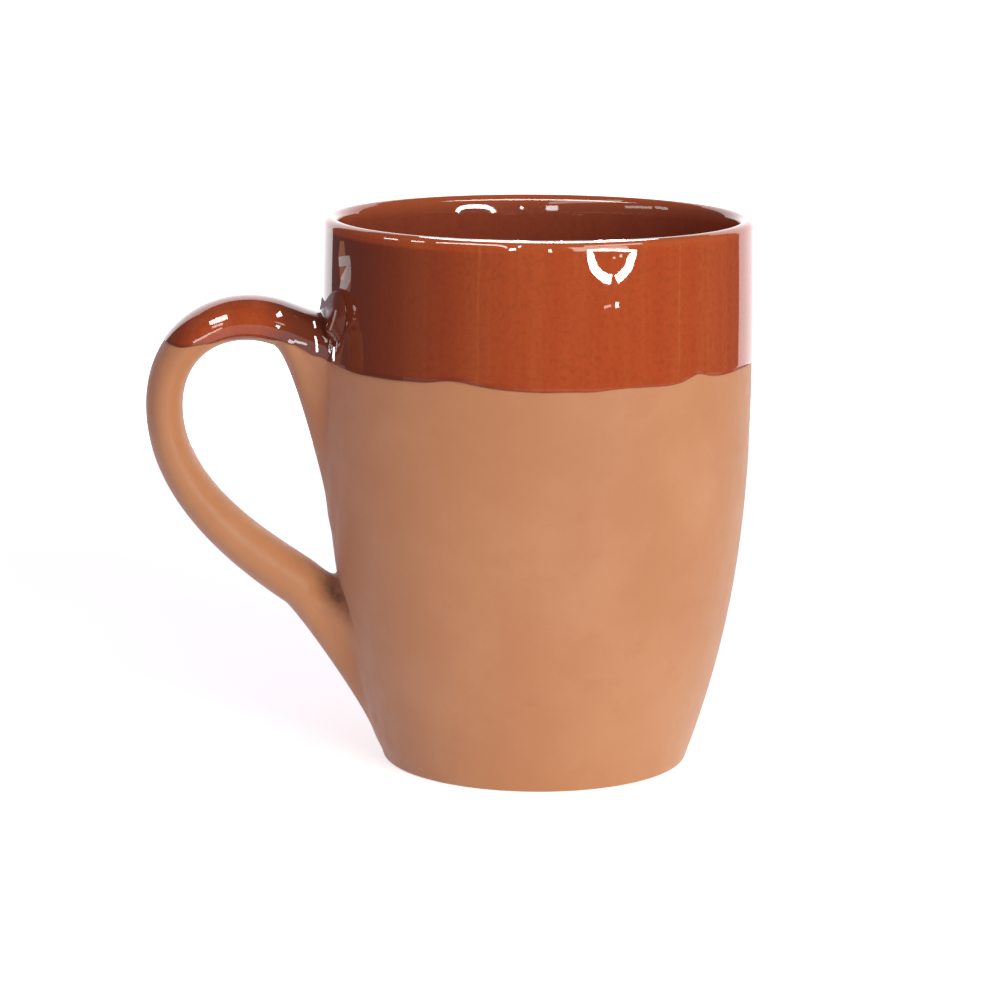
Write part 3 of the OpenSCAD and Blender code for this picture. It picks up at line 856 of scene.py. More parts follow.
class SurfaceGraph(NodeGraph):
    """Short ways to build the material of a piece, in its Object coordinates"""

    def __init__(self, name):
        super().__init__(bpy.data.materials.new(name))
        self.shader = self.nodes["Principled BSDF"]
        self.place = self.nodes.new("ShaderNodeTexCoord").outputs["Object"]

    def noise(self, scale, stretch=(1, 1, 1), detail=4.0, roughness=0.55):
        mapping = self.add("ShaderNodeMapping", {"Vector": self.place, "Scale": stretch})
        texture = self.add("ShaderNodeTexNoise", {
            "Vector": mapping.outputs["Vector"], "Scale": scale, "Detail": detail,
            "Roughness": roughness})
        return texture.outputs["Fac"]

    def spread(self, value, edges, ends=(0.0, 1.0)):
        """Value stretched smoothly from two edges to two ends"""
        node = self.add("ShaderNodeMapRange", {
            "Value": value, "From Min": edges[0], "From Max": edges[1],
            "To Min": ends[0], "To Max": ends[1]}, interpolation_type="SMOOTHSTEP")
        return node.outputs["Result"]

    def patches(self, edges, ends=(0.0, 1.0), **noise_values):
        """Noise stretched smoothly from two edges to two ends"""
        return self.spread(self.noise(**noise_values), edges, ends)

    def attribute(self, name):
        node = self.add("ShaderNodeAttribute", {}, attribute_name=name)
        return node.outputs["Fac"]

    def tint(self, colour, other, where, share):
        """A colour drawn towards another one by a share, where a value is high"""
        return self.blend(self.maths("MULTIPLY", where, share), colour, other)

    def drip(self, turn, width):
        """1 along a drip that runs down the wall at a turn, 0 beside it"""
        place = self.add("ShaderNodeSeparateXYZ", {"Vector": self.place})
        angle = self.maths("ARCTAN2", place.outputs["Y"], place.outputs["X"])
        bend = self.noise(scale=DRIP_BEND_SCALE, stretch=(0, 0, 1), detail=1)
        bent = self.maths("ADD", angle, self.maths("MULTIPLY", bend, DRIP_BEND))
        off = self.maths("SUBTRACT", bent, turn + DRIP_BEND / 2)
        return self.spread(self.maths("ABSOLUTE", off, 0.0), (width, DRIP_CORE_SHARE * width))

    def bump(self, height, strength, distance, normal=None):
        node = self.add("ShaderNodeBump", {
            "Height": height, "Strength": strength, "Distance": distance})
        if normal:
            self.set(node.inputs["Normal"], normal)
        return node.outputs["Normal"]

    def finish(self, inputs):
        """Gives the shader its colour, gloss and relief, and the material back"""
        self.fill(self.shader, inputs)
        return self.owner


# Drips in the glaze: turn and half width round the axis, in radians, and how pale they are
DRIPS = ((math.radians(-112.2), 0.011, 0.65), (math.radians(-58.3), 0.008, 0.5))
# How often and how far a drip wanders, in radians, and the share of its width that is plain
DRIP_BEND_SCALE = 60
DRIP_BEND = 0.06
DRIP_CORE_SHARE = 0.3
CLAY_RELIEF = 0.05 * MM
PINHOLE_DEPTH = 0.04 * MM


def clay_material(name, colours):
    """Unglazed terracotta: soft mottling, deeper specks, fine grain, turning lines and painted
    corner shade
    """
    graph = SurfaceGraph(name)
    bloom = graph.patches(scale=38, detail=5, edges=(0.38, 0.66))
    colour = graph.blend(bloom, colours.clay, colours.clay_pale)
    spots = graph.patches(
        scale=120, stretch=(1, 1, 1.6), detail=6, roughness=0.65, edges=(0.52, 0.78))
    colour = graph.tint(colour, colours.clay_deep, spots, share=0.45)
    specks = graph.patches(scale=1900, detail=2, roughness=0.4, edges=(0.66, 0.74))
    colour = graph.tint(colour, colours.clay_deep, specks, share=0.35)
    # Painted shade in the corner inside the strap's lower root, broken up by noise
    shade_patches = graph.patches(scale=480, detail=5, edges=(0.3, 0.62), ends=(0.55, 1.0))
    stain = graph.maths("MULTIPLY", graph.attribute("stain"), shade_patches)
    colour = graph.blend(stain, colour, colours.clay_painted_shade)
    turning_lines = graph.noise(scale=90, stretch=(0.06, 0.06, 14), detail=3)
    grain = graph.noise(scale=2600, detail=3, roughness=0.6)
    pits = graph.patches(scale=650, detail=2, edges=(0.62, 0.75))
    relief = None
    for height, strength in ((turning_lines, 0.25), (grain, 0.35), (pits, -0.3)):
        relief = graph.bump(height, strength, CLAY_RELIEF, relief)
    return graph.finish({
        "Base Color": colour,
        "Roughness": graph.patches(scale=300, detail=3, edges=(0.3, 0.7), ends=(0.47, 0.57)),
        "Diffuse Roughness": 0.7,
        "Sheen Weight": 0.3,
        "Sheen Roughness": 0.4,
        "Normal": relief,
    })


def glaze_material(name, colours, colour, run_share=1.0, dulled=0.0):
    """Glossy brown glaze: runs down the wall, thin where its depth value is low and dark where it is
    high, which includes painted shade
    """
    graph = SurfaceGraph(name)
    thin, darker = colours.glaze_thin, colours.glaze_dark_and_shade
    runs = graph.patches(
        scale=210, stretch=(1, 1, 0.035), detail=4, roughness=0.6, edges=(0.36, 0.72))
    colour = graph.tint(colour, thin, runs, share=0.5 * run_share)
    streaks = graph.patches(scale=420, stretch=(1, 1, 0.02), detail=1, edges=(0.68, 0.74))
    colour = graph.tint(colour, thin, streaks, share=0.35 * run_share)
    for turn, width, pale in DRIPS:
        colour = graph.tint(colour, thin, graph.drip(turn, width), share=pale * run_share)
    mottle = graph.patches(scale=900, detail=4, roughness=0.7, edges=(0.42, 0.7))
    colour = graph.tint(colour, darker, mottle, share=0.22)
    depth = graph.attribute("glaze_depth")
    # Thin glaze where the depth value is low, dark glaze where it is high; on the dip beside the
    # handle the dark part is painted shade
    colour = graph.tint(colour, thin, graph.spread(depth, edges=(0.45, 0.05)), share=0.8)
    colour = graph.tint(colour, darker, graph.spread(depth, edges=(0.55, 1.0)), share=0.85)
    pinholes = graph.patches(scale=1500, detail=1, edges=(0.74, 0.80))
    return graph.finish({
        "Base Color": colour,
        "Roughness": graph.patches(scale=160, detail=3, edges=(0.3, 0.7),
                                   ends=(0.02 + dulled, 0.05 + dulled)),
        "IOR": 1.52,
        "Normal": graph.bump(pinholes, strength=-0.15, distance=PINHOLE_DEPTH),
    })


def material_named(name, make, *values, **more):
    """The material of that name, made on its first use"""
    return bpy.data.materials.get(name) or make(name, *values, **more)


def terracotta(colours):
    return material_named("terracotta", clay_material, colours)


def dipped_glaze(colours):
    return material_named("dipped_glaze", glaze_material, colours, colours.glaze)


class MUG_OT_body(bpy.types.Operator):
    """Turn the clay body, with its foot, floor and lip"""
    bl_idname = "mug.body"
    bl_label = "Clay body"

    def execute(self, context):
        scene = context.scene
        outline = TurnedOutline(scene.mug_body)
        line = (outline.underside + outline.foot_edge + outline.outside[1:]
                + outline.lip + outline.inside)
        bm = spin_outline(line, scene.mug_body.turns)
        finish_piece(bm, "mug_body", terracotta(scene.mug_colours), "clay", "body")
        return {"FINISHED"}


def handle_mesh(scene):
    """The handle's shape and its mesh, open at both ends, with the painted shade in its lower corner
    and its press
    """
    handle = PulledHandle(TurnedOutline(scene.mug_body), scene.mug_handle)
    bm = extrude_rings(scene.mug_handle.sides, handle.rings())
    # Painted shade in the corner inside the lower root
    stain = bm.verts.layers.float["stain"]
    for vert in bm.verts:
        vert[stain] = handle.stain(vert.co)
        handle.press(vert.co)
    return handle, bm


class MUG_OT_handle(bpy.types.Operator):
    """Pull the strap and press its two roots onto the wall"""
    bl_idname = "mug.handle"
    bl_label = "Handle"

    def execute(self, context):
        scene = context.scene
        _, bm = handle_mesh(scene)
        close_ends(bm)
        finish_piece(bm, "handle_strap", terracotta(scene.mug_colours), "clay", "handle")
        return {"FINISHED"}


class MUG_OT_lining(bpy.types.Operator):
    """Line the inside with glaze"""
    bl_idname = "mug.lining"
    bl_label = "Lining glaze"

    # The glaze is thinner on the crest of the lip, and looks it for some way down
    CREST_SHARE = 0.93
    CREST_RUN = 0.4 * MM
    CREST_DEPTH = 0.2
    USUAL_DEPTH = 0.5
    DEPTH_RUN = 5 * MM
    GRAIN = 11 * MM
    RUN_SHARE = 0.15

    def execute(self, context):
        scene = context.scene
        glaze = scene.mug_glaze
        outline = TurnedOutline(scene.mug_body)
        crest = TurnedOutline.LIP_STEPS // 2
        bm = spin_outline(outline.lip[crest:] + outline.inside, scene.mug_body.turns)
        depth, height = skin_layers(bm)
        face_along(bm, axis=0, sense=-1)
        for vert in bm.verts:
            below = scene.mug_body.height - vert.co.z
            full = mix(self.CREST_SHARE, 1.0, smooth(below / self.CREST_RUN))
            vert[height] = glaze.depth * full + ripples(vert.co, glaze.ripple, self.GRAIN)
            vert[depth] = mix(self.CREST_DEPTH, self.USUAL_DEPTH,
                              smooth(below / self.DEPTH_RUN))
        raise_skin(bm)
        lining = material_named(
            "poured_lining", glaze_material, scene.mug_colours, scene.mug_colours.lining,
            run_share=self.RUN_SHARE)
        finish_piece(bm, "lining_skin", lining, "lining_glaze", "lining_glaze")
        return {"FINISHED"}


# Distance above the dip line over which the waves of the glaze grow, and over which it
# looks deeper, with how much
WAVE_RUN = 2 * MM
EDGE_RUN = 0.8 * MM
EDGE_DEPTH = 0.2


def glaze_wave(point, rise, height, grain):
    """Soft wave of the glaze at a point and its rise above the dip line"""
    return ripples(point, height, grain) * smooth(rise / WAVE_RUN)


def edge_depth(rise):
    """How much deeper the glaze looks towards its dip line"""
    return EDGE_DEPTH * (1 - smooth(rise / EDGE_RUN))


class MUG_OT_dip(bpy.types.Operator):
    """Dip the upper part of the body in glaze"""
    bl_idname = "mug.dip"
    bl_label = "Dipped glaze"

    # The outline starts this far below the usual dip line
    SPARE = 3 * MM
    # Share of its thickness that the glaze keeps at its end inside the lip
    INNER_END_SHARE = 0.85
    GRAIN = 11 * MM
    # How deep the glaze looks on the lip and below it, and where it changes
    LIP_DEPTH = 0.22
    USUAL_DEPTH = 0.5
    LIP_DROP = 0.4 * MM
    LIP_RUN = 2 * MM
    # Turn from the handle within which the glaze is drawn darker, as painted shade on the side away
    # from the key lamp, and how far it takes
    SIDE_SHADE_FROM = math.radians(98)
    SIDE_SHADE_RUN = math.radians(76)

    def depth_and_shade_at(self, point, below):
        """How deep the glaze looks at a point and its distance below the lip, with painted shade
        drawn in towards the handle
        """
        off_handle = math.pi - abs(math.atan2(point.y, point.x))
        # Painted shade: the glaze is drawn darker towards the handle
        side_shade = clamp((self.SIDE_SHADE_FROM - off_handle) / self.SIDE_SHADE_RUN)
        full = mix(self.USUAL_DEPTH, 1.0, side_shade)
        return mix(self.LIP_DEPTH, full, smooth((below - self.LIP_DROP) / self.LIP_RUN))

    def execute(self, context):
        scene = context.scene
        body, glaze = scene.mug_body, scene.mug_glaze
        outline = TurnedOutline(body)
        lowest = glaze.dip_height - self.SPARE
        inner = [p for p in outline.inside if p.z > body.height - glaze.overlap]
        line = [p for p in outline.outside if p.z > lowest] + outline.lip + inner
        bm = spin_outline(line, body.turns)
        depth, height = skin_layers(bm)
        face_along(bm, axis=0, sense=1)
        rises = keep_above_dip(bm, lambda p: body_dip(p, glaze.dip_height), glaze.bead)
        crest = body.rim_radius - body.wall / 2
        for vert, rise in rises.items():
            below = body.height - vert.co.z
            full = bead_height(rise, glaze)
            if math.hypot(vert.co.x, vert.co.y) < crest:
                full *= mix(1.0, self.INNER_END_SHARE, smooth(below / glaze.overlap))
            vert[height] = full + glaze_wave(vert.co, rise, glaze.ripple, self.GRAIN)
            vert[depth] = self.depth_and_shade_at(vert.co, below) + edge_depth(rise)
        raise_skin(bm)
        finish_piece(bm, "dip_skin", dipped_glaze(scene.mug_colours), "brown_glaze",
                     "outside_glaze")
        return {"FINISHED"}


class MUG_OT_handle_glaze(bpy.types.Operator):
    """Glaze the top of the handle"""
    bl_idname = "mug.handle_glaze"
    bl_label = "Handle glaze"

    # Height under which the handle is bare, and the rows of its underside
    LOWEST = 70 * MM
    HIDDEN_ROWS = len(PulledHandle.CAP_SHARES) + 1
    GRAIN = 9 * MM
    LEAST_DEPTH = 0.45
    # Along the strap: distance from the wall, the run from there, and how dark the glaze is drawn
    # from there on
    DARK_GLAZE_STEPS = ((5 * MM, 11 * MM, 0.15), (20 * MM, 12 * MM, 0.75))

    def is_bare(self, face, row):
        """Whether a face is on a root's underside or under the glazed part"""
        hidden = any(v[row] < self.HIDDEN_ROWS for v in face.verts)
        return hidden or all(v.co.z < self.LOWEST for v in face.verts)

    def dark_glaze_at(self, off_wall):
        """How dark the glaze is drawn at a distance from the wall"""
        darker = 1.0
        for start, run, there in self.DARK_GLAZE_STEPS:
            darker = mix(darker, there, smooth((off_wall - start) / run))
        return darker

    def execute(self, context):
        scene = context.scene
        glaze = scene.mug_glaze
        handle, bm = handle_mesh(scene)
        depth, height = skin_layers(bm)
        row = bm.verts.layers.int["row"]
        bare = [f for f in bm.faces if self.is_bare(f, row)]
        bmesh.ops.delete(bm, geom=bare, context="FACES")
        face_along(bm, axis=2, sense=1)
        rises = keep_above_dip(bm, handle_dip, glaze.bead)
        for vert, rise in rises.items():
            off_wall = math.hypot(vert.co.x, vert.co.y) - handle.wall.radius(vert.co.z)
            wave = glaze_wave(vert.co, rise, glaze.ripple, self.GRAIN)
            vert[height] = bead_height(rise, glaze) + wave
            darker = self.dark_glaze_at(off_wall)
            vert[depth] = mix(self.LEAST_DEPTH, 1.0, darker) + edge_depth(rise)
        raise_skin(bm)
        finish_piece(bm, "handle_skin", dipped_glaze(scene.mug_colours), "brown_glaze",
                     "handle_glaze")
        return {"FINISHED"}


class CollarShape:
    """The roll of glazed clay worked round the crown of the upper root"""

    # Turns round the root, from its top: where the roll ends and fades, where it is a crown
    # and a side, and where its ears are
    END = math.radians(87)
    FADE = math.radians(22)
    CROWN = math.radians(30)
    SIDE = math.radians(90)
    EAR = math.radians(60)
    EAR_SPREAD = math.radians(47)
    # Across the roll: its height at the root's edge, and where its crest is. Then the share
    # of the glaze's thickness on which it all sits
    EDGE_SHARE = 0.35
    CREST_SHARE = 0.4
    SEAT_SHARE = 0.8
    # The roll spreads away from the root, more upwards than aside, and starts off its edge
    LIFT = 1.4
    SPREAD = 0.25
    GAP = 0.1 * MM

    def __init__(self, handle, glaze):
        self.handle = handle
        self.glaze = glaze

    def crown(self, turn):
        return smooth((self.SIDE - abs(turn)) / (self.SIDE - self.CROWN))

    def width(self, turn):
        off = min(1.0, abs(abs(turn) - self.EAR) / self.EAR_SPREAD)
        ear = math.cos(math.pi / 2 * off) ** 2
        plain = mix(self.glaze.collar_side, self.glaze.collar_crown, self.crown(turn))
        return plain + self.glaze.collar_ear * ear

    def height(self, turn, share):
        """Height of the roll over the wall at a turn and a share of its width"""
        ends = smooth((self.END - abs(turn)) / self.FADE)
        full = mix(self.glaze.collar_side_height, self.glaze.collar_height, self.crown(turn))
        crest = self.CREST_SHARE
        off = (share - crest) / (crest if share < crest else 1 - crest)
        bulge = math.sqrt(max(0.0, 1 - off * off))
        if share < crest:
            bulge = mix(self.EDGE_SHARE, 1.0, bulge)
        return self.glaze.depth * self.SEAT_SHARE + (full - self.glaze.depth) * ends * bulge

    def place(self, turn, share):
        """Place on the wall at a turn and a share of the roll's width"""
        root = self.handle.upper_root
        flat = root.outline(turn)[0]
        lift = (self.LIFT * (flat.y - root.middle)
                + self.SPREAD * root.width * math.cos(turn))
        away = Vector((flat.x, lift)).normalized()
        flat += away * (self.GAP + share * self.width(turn))
        return self.handle.wall.beside_handle(flat.x, flat.y)


class MUG_OT_collar(bpy.types.Operator):
    """Roll the glazed collar round the crown of the upper root"""
    bl_idname = "mug.collar"
    bl_label = "Collar"

    STEPS_ROUND = 96
    STEPS_ACROSS = 24
    # Its ripples: how much higher than the glaze's, their grain, and how fast they grow
    # from the outer edge
    RIPPLE_TIMES = 2
    GRAIN = 3.5 * MM
    RIPPLE_GROWTH = 6
    DULLED = 0.16

    def execute(self, context):
        scene = context.scene
        glaze = scene.mug_glaze
        handle = PulledHandle(TurnedOutline(scene.mug_body), scene.mug_handle)
        shape = CollarShape(handle, glaze)
        bm = bmesh.new()
        depth, height = skin_layers(bm)
        bmesh.ops.create_grid(bm, x_segments=self.STEPS_ROUND, y_segments=self.STEPS_ACROSS,
                              size=1.0)
        for vert in bm.verts:
            turn = vert.co.x * shape.END
            share = math.sin(math.pi / 4 * (vert.co.y + 1))
            vert.co = shape.place(turn, share)
            wave = ripples(vert.co, self.RIPPLE_TIMES * glaze.ripple, self.GRAIN)
            wave *= smooth(self.RIPPLE_GROWTH * (1 - share))
            vert[height] = shape.height(turn, share) + wave
            vert[depth] = 1.0
        bm.normal_update()
        if sum(f.normal.x for f in bm.faces) > 0:
            bmesh.ops.reverse_faces(bm, faces=bm.faces)
        raise_skin(bm)
        rolled = material_named(
            "rolled_glaze", glaze_material, scene.mug_colours, scene.mug_colours.glaze,
            dulled=self.DULLED)
        finish_piece(bm, "collar_roll", rolled, "brown_glaze", "collar")
        return {"FINISHED"}


class MUG_OT_slip(bpy.types.Operator):
    """Finish the two pads of slip under the roots"""
    bl_idname = "mug.slip"
    bl_label = "Joining slip"

    def execute(self, context):
        slip = material_named("joining_slip", clay_material, context.scene.mug_colours)
        for name in ("upper_slip", "lower_slip"):
            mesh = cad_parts[name].data
            mesh.materials.clear()
            mesh.materials.append(slip)
        return {"FINISHED"}


class GlowGraph(NodeGraph):
    """A material of the stage: a plain shader with a glow added to it"""

    def __init__(self, name, kind):
        super().__init__(bpy.data.materials.new(name))
        self.nodes.clear()
        self.plain = self.nodes.new(kind)
        self.glow = self.nodes.new("ShaderNodeEmission")
        both = self.add("ShaderNodeAddShader", {
            0: self.plain.outputs["BSDF"], 1: self.glow.outputs["Emission"]})
        self.add("ShaderNodeOutputMaterial", {"Surface": both.outputs["Shader"]})


def ray_switch(graph, path):
    """Whether a ray comes from the camera, a reflection or a transmission"""
    seen = graph.maths("MAXIMUM", path["Is Camera Ray"], path["Is Glossy Ray"])
    return graph.maths("MAXIMUM", seen, path["Is Transmission Ray"])


def white_stage_material(name, albedo, glow):
    """Pale matte surface that looks white to the camera and in reflections"""
    graph = GlowGraph(name, "ShaderNodeBsdfDiffuse")
    path = graph.nodes.new("ShaderNodeLightPath").outputs
    graph.fill(graph.plain, {"Color": (albedo, albedo, albedo)})
    graph.fill(graph.glow, {
        "Color": WHITE, "Strength": graph.maths("MULTIPLY", ray_switch(graph, path), glow)})
    return graph.owner


def glint_material(name, colour, strength):
    """Plain glow, clear to what it isn't meant to light"""
    graph = GlowGraph(name, "ShaderNodeBsdfTransparent")
    graph.fill(graph.glow, {"Color": colour, "Strength": strength})
    return graph.owner


def add_stage_mesh(bm, name, material):
    piece = new_object(bm, name, material)
    return piece


# Cards mirrored in the glaze: how bright each is, and its middle line in the picture as
# places across and down with half its width there
WALL_GLINTS = (
    (45, ((588, 251, 1.5), (590, 254, 3.5), (592, 262, 4.0), (594, 268, 4.5),
          (599, 274, 4.5), (606, 278.5, 5.0), (611.5, 279.5, 5.2))),
    (45, ((636, 251, 1.5), (633.5, 254, 3.5), (630.5, 260, 4.0), (629, 267, 4.0),
          (624, 273, 4.2), (619, 278, 4.2), (616.3, 279.3, 4.8))),
    (45, ((587, 250.5, 0.8), (600, 250, 1.1), (616, 250, 1.1), (628, 250.5, 1.4), (637, 251, 0.8))),
    (22, ((617, 302, 1.8), (617.3, 308, 2.0))),
    (8, ((604, 307.5, 1.2), (611, 305.5, 1.2))),
    (12, ((613.5, 257, 1.0), (615, 258.6, 1.0))),
    (18, ((620, 256.5, 1.2), (622, 255.5, 1.2))),
    (8, ((584, 246.3, 0.6), (612, 245.2, 0.8), (642, 243.6, 0.6))),
    (16, ((384, 238.2, 0.5), (398, 239.6, 0.6))),
    (16, ((411, 241.0, 0.5), (424, 242.0, 0.6))),
    (16, ((436, 242.6, 0.5), (470, 244.0, 0.6), (500, 245.5, 0.6), (507, 247.5, 0.8))),
    (28, ((509, 250.0, 1.2), (516, 249.0, 1.2))),
    (28, ((518, 247.0, 0.8), (521, 246.0, 0.8))),
    (28, ((548.5, 250.8, 1.4), (552, 250.8, 1.4))),
    (1.7, ((344, 256, 5.5), (345, 266, 6.0))),
    (1.7, ((349, 266, 2.0), (346, 278, 5.0), (343, 289, 3.5))),
)
WARM_GLINTS = (
    (0.9, ((342, 241, 2.0), (342, 256, 3.5))),
    (0.9, ((343, 266, 3.5), (342, 280, 2.0))),
    (0.9, ((350, 280, 1.5), (348, 294, 1.5))),
)
RIM_GLINTS = (
    (40, ((457, 212.0, 2.0), (459.5, 208.5, 1.9), (467, 206.6, 1.9), (476, 206.2, 1.9),
          (486, 206.8, 1.9), (492, 209.0, 1.9), (494, 212.5, 2.0))),
    (30, ((520.5, 207.0, 1.2), (523, 208.5, 1.2))),
    (14, ((546, 208.0, 2.4), (558, 208.0, 2.4))),
    (4, ((549, 203.0, 1.0), (575, 201.5, 1.4), (620, 201.0, 1.2))),
    (5, ((625, 206.8, 1.2), (652, 207.5, 1.2))),
    (5, ((655, 207.2, 1.2), (668, 208.8, 1.2))),
)
HANDLE_GLINTS = (
    (20, ((209.5, 323.5, 1.8), (218, 320.0, 2.6), (227.5, 316.5, 2.2))),
    (9, ((212, 327.5, 1.0), (223, 323.5, 1.2))),
    (9, ((193, 342.5, 0.9), (200, 339.0, 1.0), (210, 333.5, 0.6), (222, 328.0, 0.6))),
    (12, ((294, 340.5, 1.3), (299, 342.5, 1.1), (307, 344.5, 0.9))),
)
SPOT_GLINTS = (
    (20, ((276.5, 316, 1.6), (281.5, 313.5, 3.0))),
    (24, ((276, 325.5, 0.9), (279.5, 327.5, 1.7))),
)
CREASE_GLINTS = (
    (26, ((313.8, 321, 0.9), (315.4, 328, 0.9))),
    (30, ((315.3, 336, 0.9), (316.8, 345, 1.1), (317.2, 352, 1.2))),
)
COLLAR_GLINTS = (
    (9, ((334, 347, 0.8), (333.2, 361, 1.2))),
    (2, ((336, 310, 0.8), (333, 322, 0.8), (330, 330, 0.6))),
)
WHITE = (1.0, 1.0, 1.0)
WARM = (1.0, 0.5, 0.26)
# Each group of cards, how far from the glaze they stand, their colour, and what they light
GLINT_GROUPS = (
    ("wall_glint", 0.03, WHITE, WALL_GLINTS, ("dip_skin",)),
    ("warm_glint", 0.03, WARM, WARM_GLINTS, ("dip_skin",)),
    ("rim_glint", 0.045, WHITE, RIM_GLINTS, ("dip_skin", "lining_skin")),
    ("handle_glint", 0.004, WHITE, HANDLE_GLINTS, ("handle_skin",)),
    ("spot_glint", 0.001, WHITE, SPOT_GLINTS, ("handle_skin",)),
    ("crease_glint", 0.0008, WHITE, CREASE_GLINTS, ("handle_skin",)),
    ("collar_glint", 0.0008, WHITE, COLLAR_GLINTS, ("collar_roll", "dip_skin")),
)
GLINT_STEPS = 14
# Width and height of the picture, in which the cards' lines are given
PICTURE = 1000


class PictureMirror:
    """Follows the camera's view of a place in the picture, and its reflection in the glaze"""

    def __init__(self, camera, names):
        self.place = camera.matrix_world.translation.copy()
        self.turn = camera.matrix_world.to_3x3()
        self.focal = camera.data.lens / camera.data.sensor_width * PICTURE
        self.pieces = []
        for name in names:
            mesh = bpy.data.objects[name].data
            points = [v.co.copy() for v in mesh.vertices]
            faces = [tuple(p.vertices) for p in mesh.polygons]
            self.pieces.append((BVHTree.FromPolygons(points, faces), mesh, points, faces))

    def mirrored(self, across, down, distance):
        """Place at a distance along the mirrored ray, or None where the view is missed"""
        half = PICTURE / 2
        aim = Vector(((across - half) / self.focal, (half - down) / self.focal, -1))
        ray = (self.turn @ aim).normalized()
        nearest = None
        for tree, mesh, points, faces in self.pieces:
            place, _, index, reach = tree.ray_cast(self.place, ray)
            if place and (nearest is None or reach < nearest[0]):
                nearest = (reach, place, mesh, points, faces[index])
        if nearest is None:
            return None
        _, place, mesh, points, corners = nearest
        weights = poly_3d_calc([points[i] for i in corners], place)
        normal = Vector()
        for i, weight in zip(corners, weights):
            normal += mesh.vertices[i].normal * weight
        normal.normalize()
        return place + (ray - 2 * ray.dot(normal) * normal) * distance


def along_line(line, share):
    """Point and half width of a middle line at a share of its length, and its direction"""
    spans = [math.dist(a[:2], b[:2]) for a, b in zip(line, line[1:])]
    left = share * sum(spans)
    for (a, b), span in zip(zip(line, line[1:]), spans):
        if left <= span or b is line[-1]:
            part = min(1.0, left / span)
            values = [mix(p, q, part) for p, q in zip(a, b)]
            return values, ((b[0] - a[0]) / span, (b[1] - a[1]) / span)
        left -= span


def add_card(bm, name, colour, strength):
    """A glowing piece of the stage that only reflections show"""
    card = add_stage_mesh(bm, name, glint_material(name, colour, strength))
    for ray in ("camera", "diffuse", "transmission", "volume_scatter", "shadow"):
        setattr(card, "visible_" + ray, False)
    return card


def pieces_lit(name, pieces):
    """A collection of the pieces that a lamp or a card lights"""
    lit = bpy.data.collections.new(name)
    for piece in pieces:
        lit.objects.link(bpy.data.objects[piece])
    return lit


def light_only(glowing, *pieces):
    """Keeps a lamp's or card's light to some pieces"""
    glowing.light_linking.receiver_collection = pieces_lit(glowing.name + "_lit", pieces)


def leave_out(glowing, *pieces):
    """Keeps a glowing surface's or lamp's light off some pieces"""
    light_only(glowing, *pieces)
    for linked in glowing.light_linking.receiver_collection.collection_objects:
        linked.light_linking.link_state = "EXCLUDE"


def glint_mesh(mirror, distance, line):
    """A card that the camera sees mirrored along a line of the picture"""
    bm = bmesh.new()
    bmesh.ops.create_grid(bm, x_segments=GLINT_STEPS, y_segments=2, size=1.0)
    lost = []
    for vert in bm.verts:
        (across, down, half), (run_x, run_y) = along_line(line, (vert.co.x + 1) / 2)
        side = vert.co.y * half
        place = mirror.mirrored(across - run_y * side, down + run_x * side, distance)
        if place:
            vert.co = place
        else:
            lost.append(vert)
    bmesh.ops.delete(bm, geom=lost, context="VERTS")
    return bm


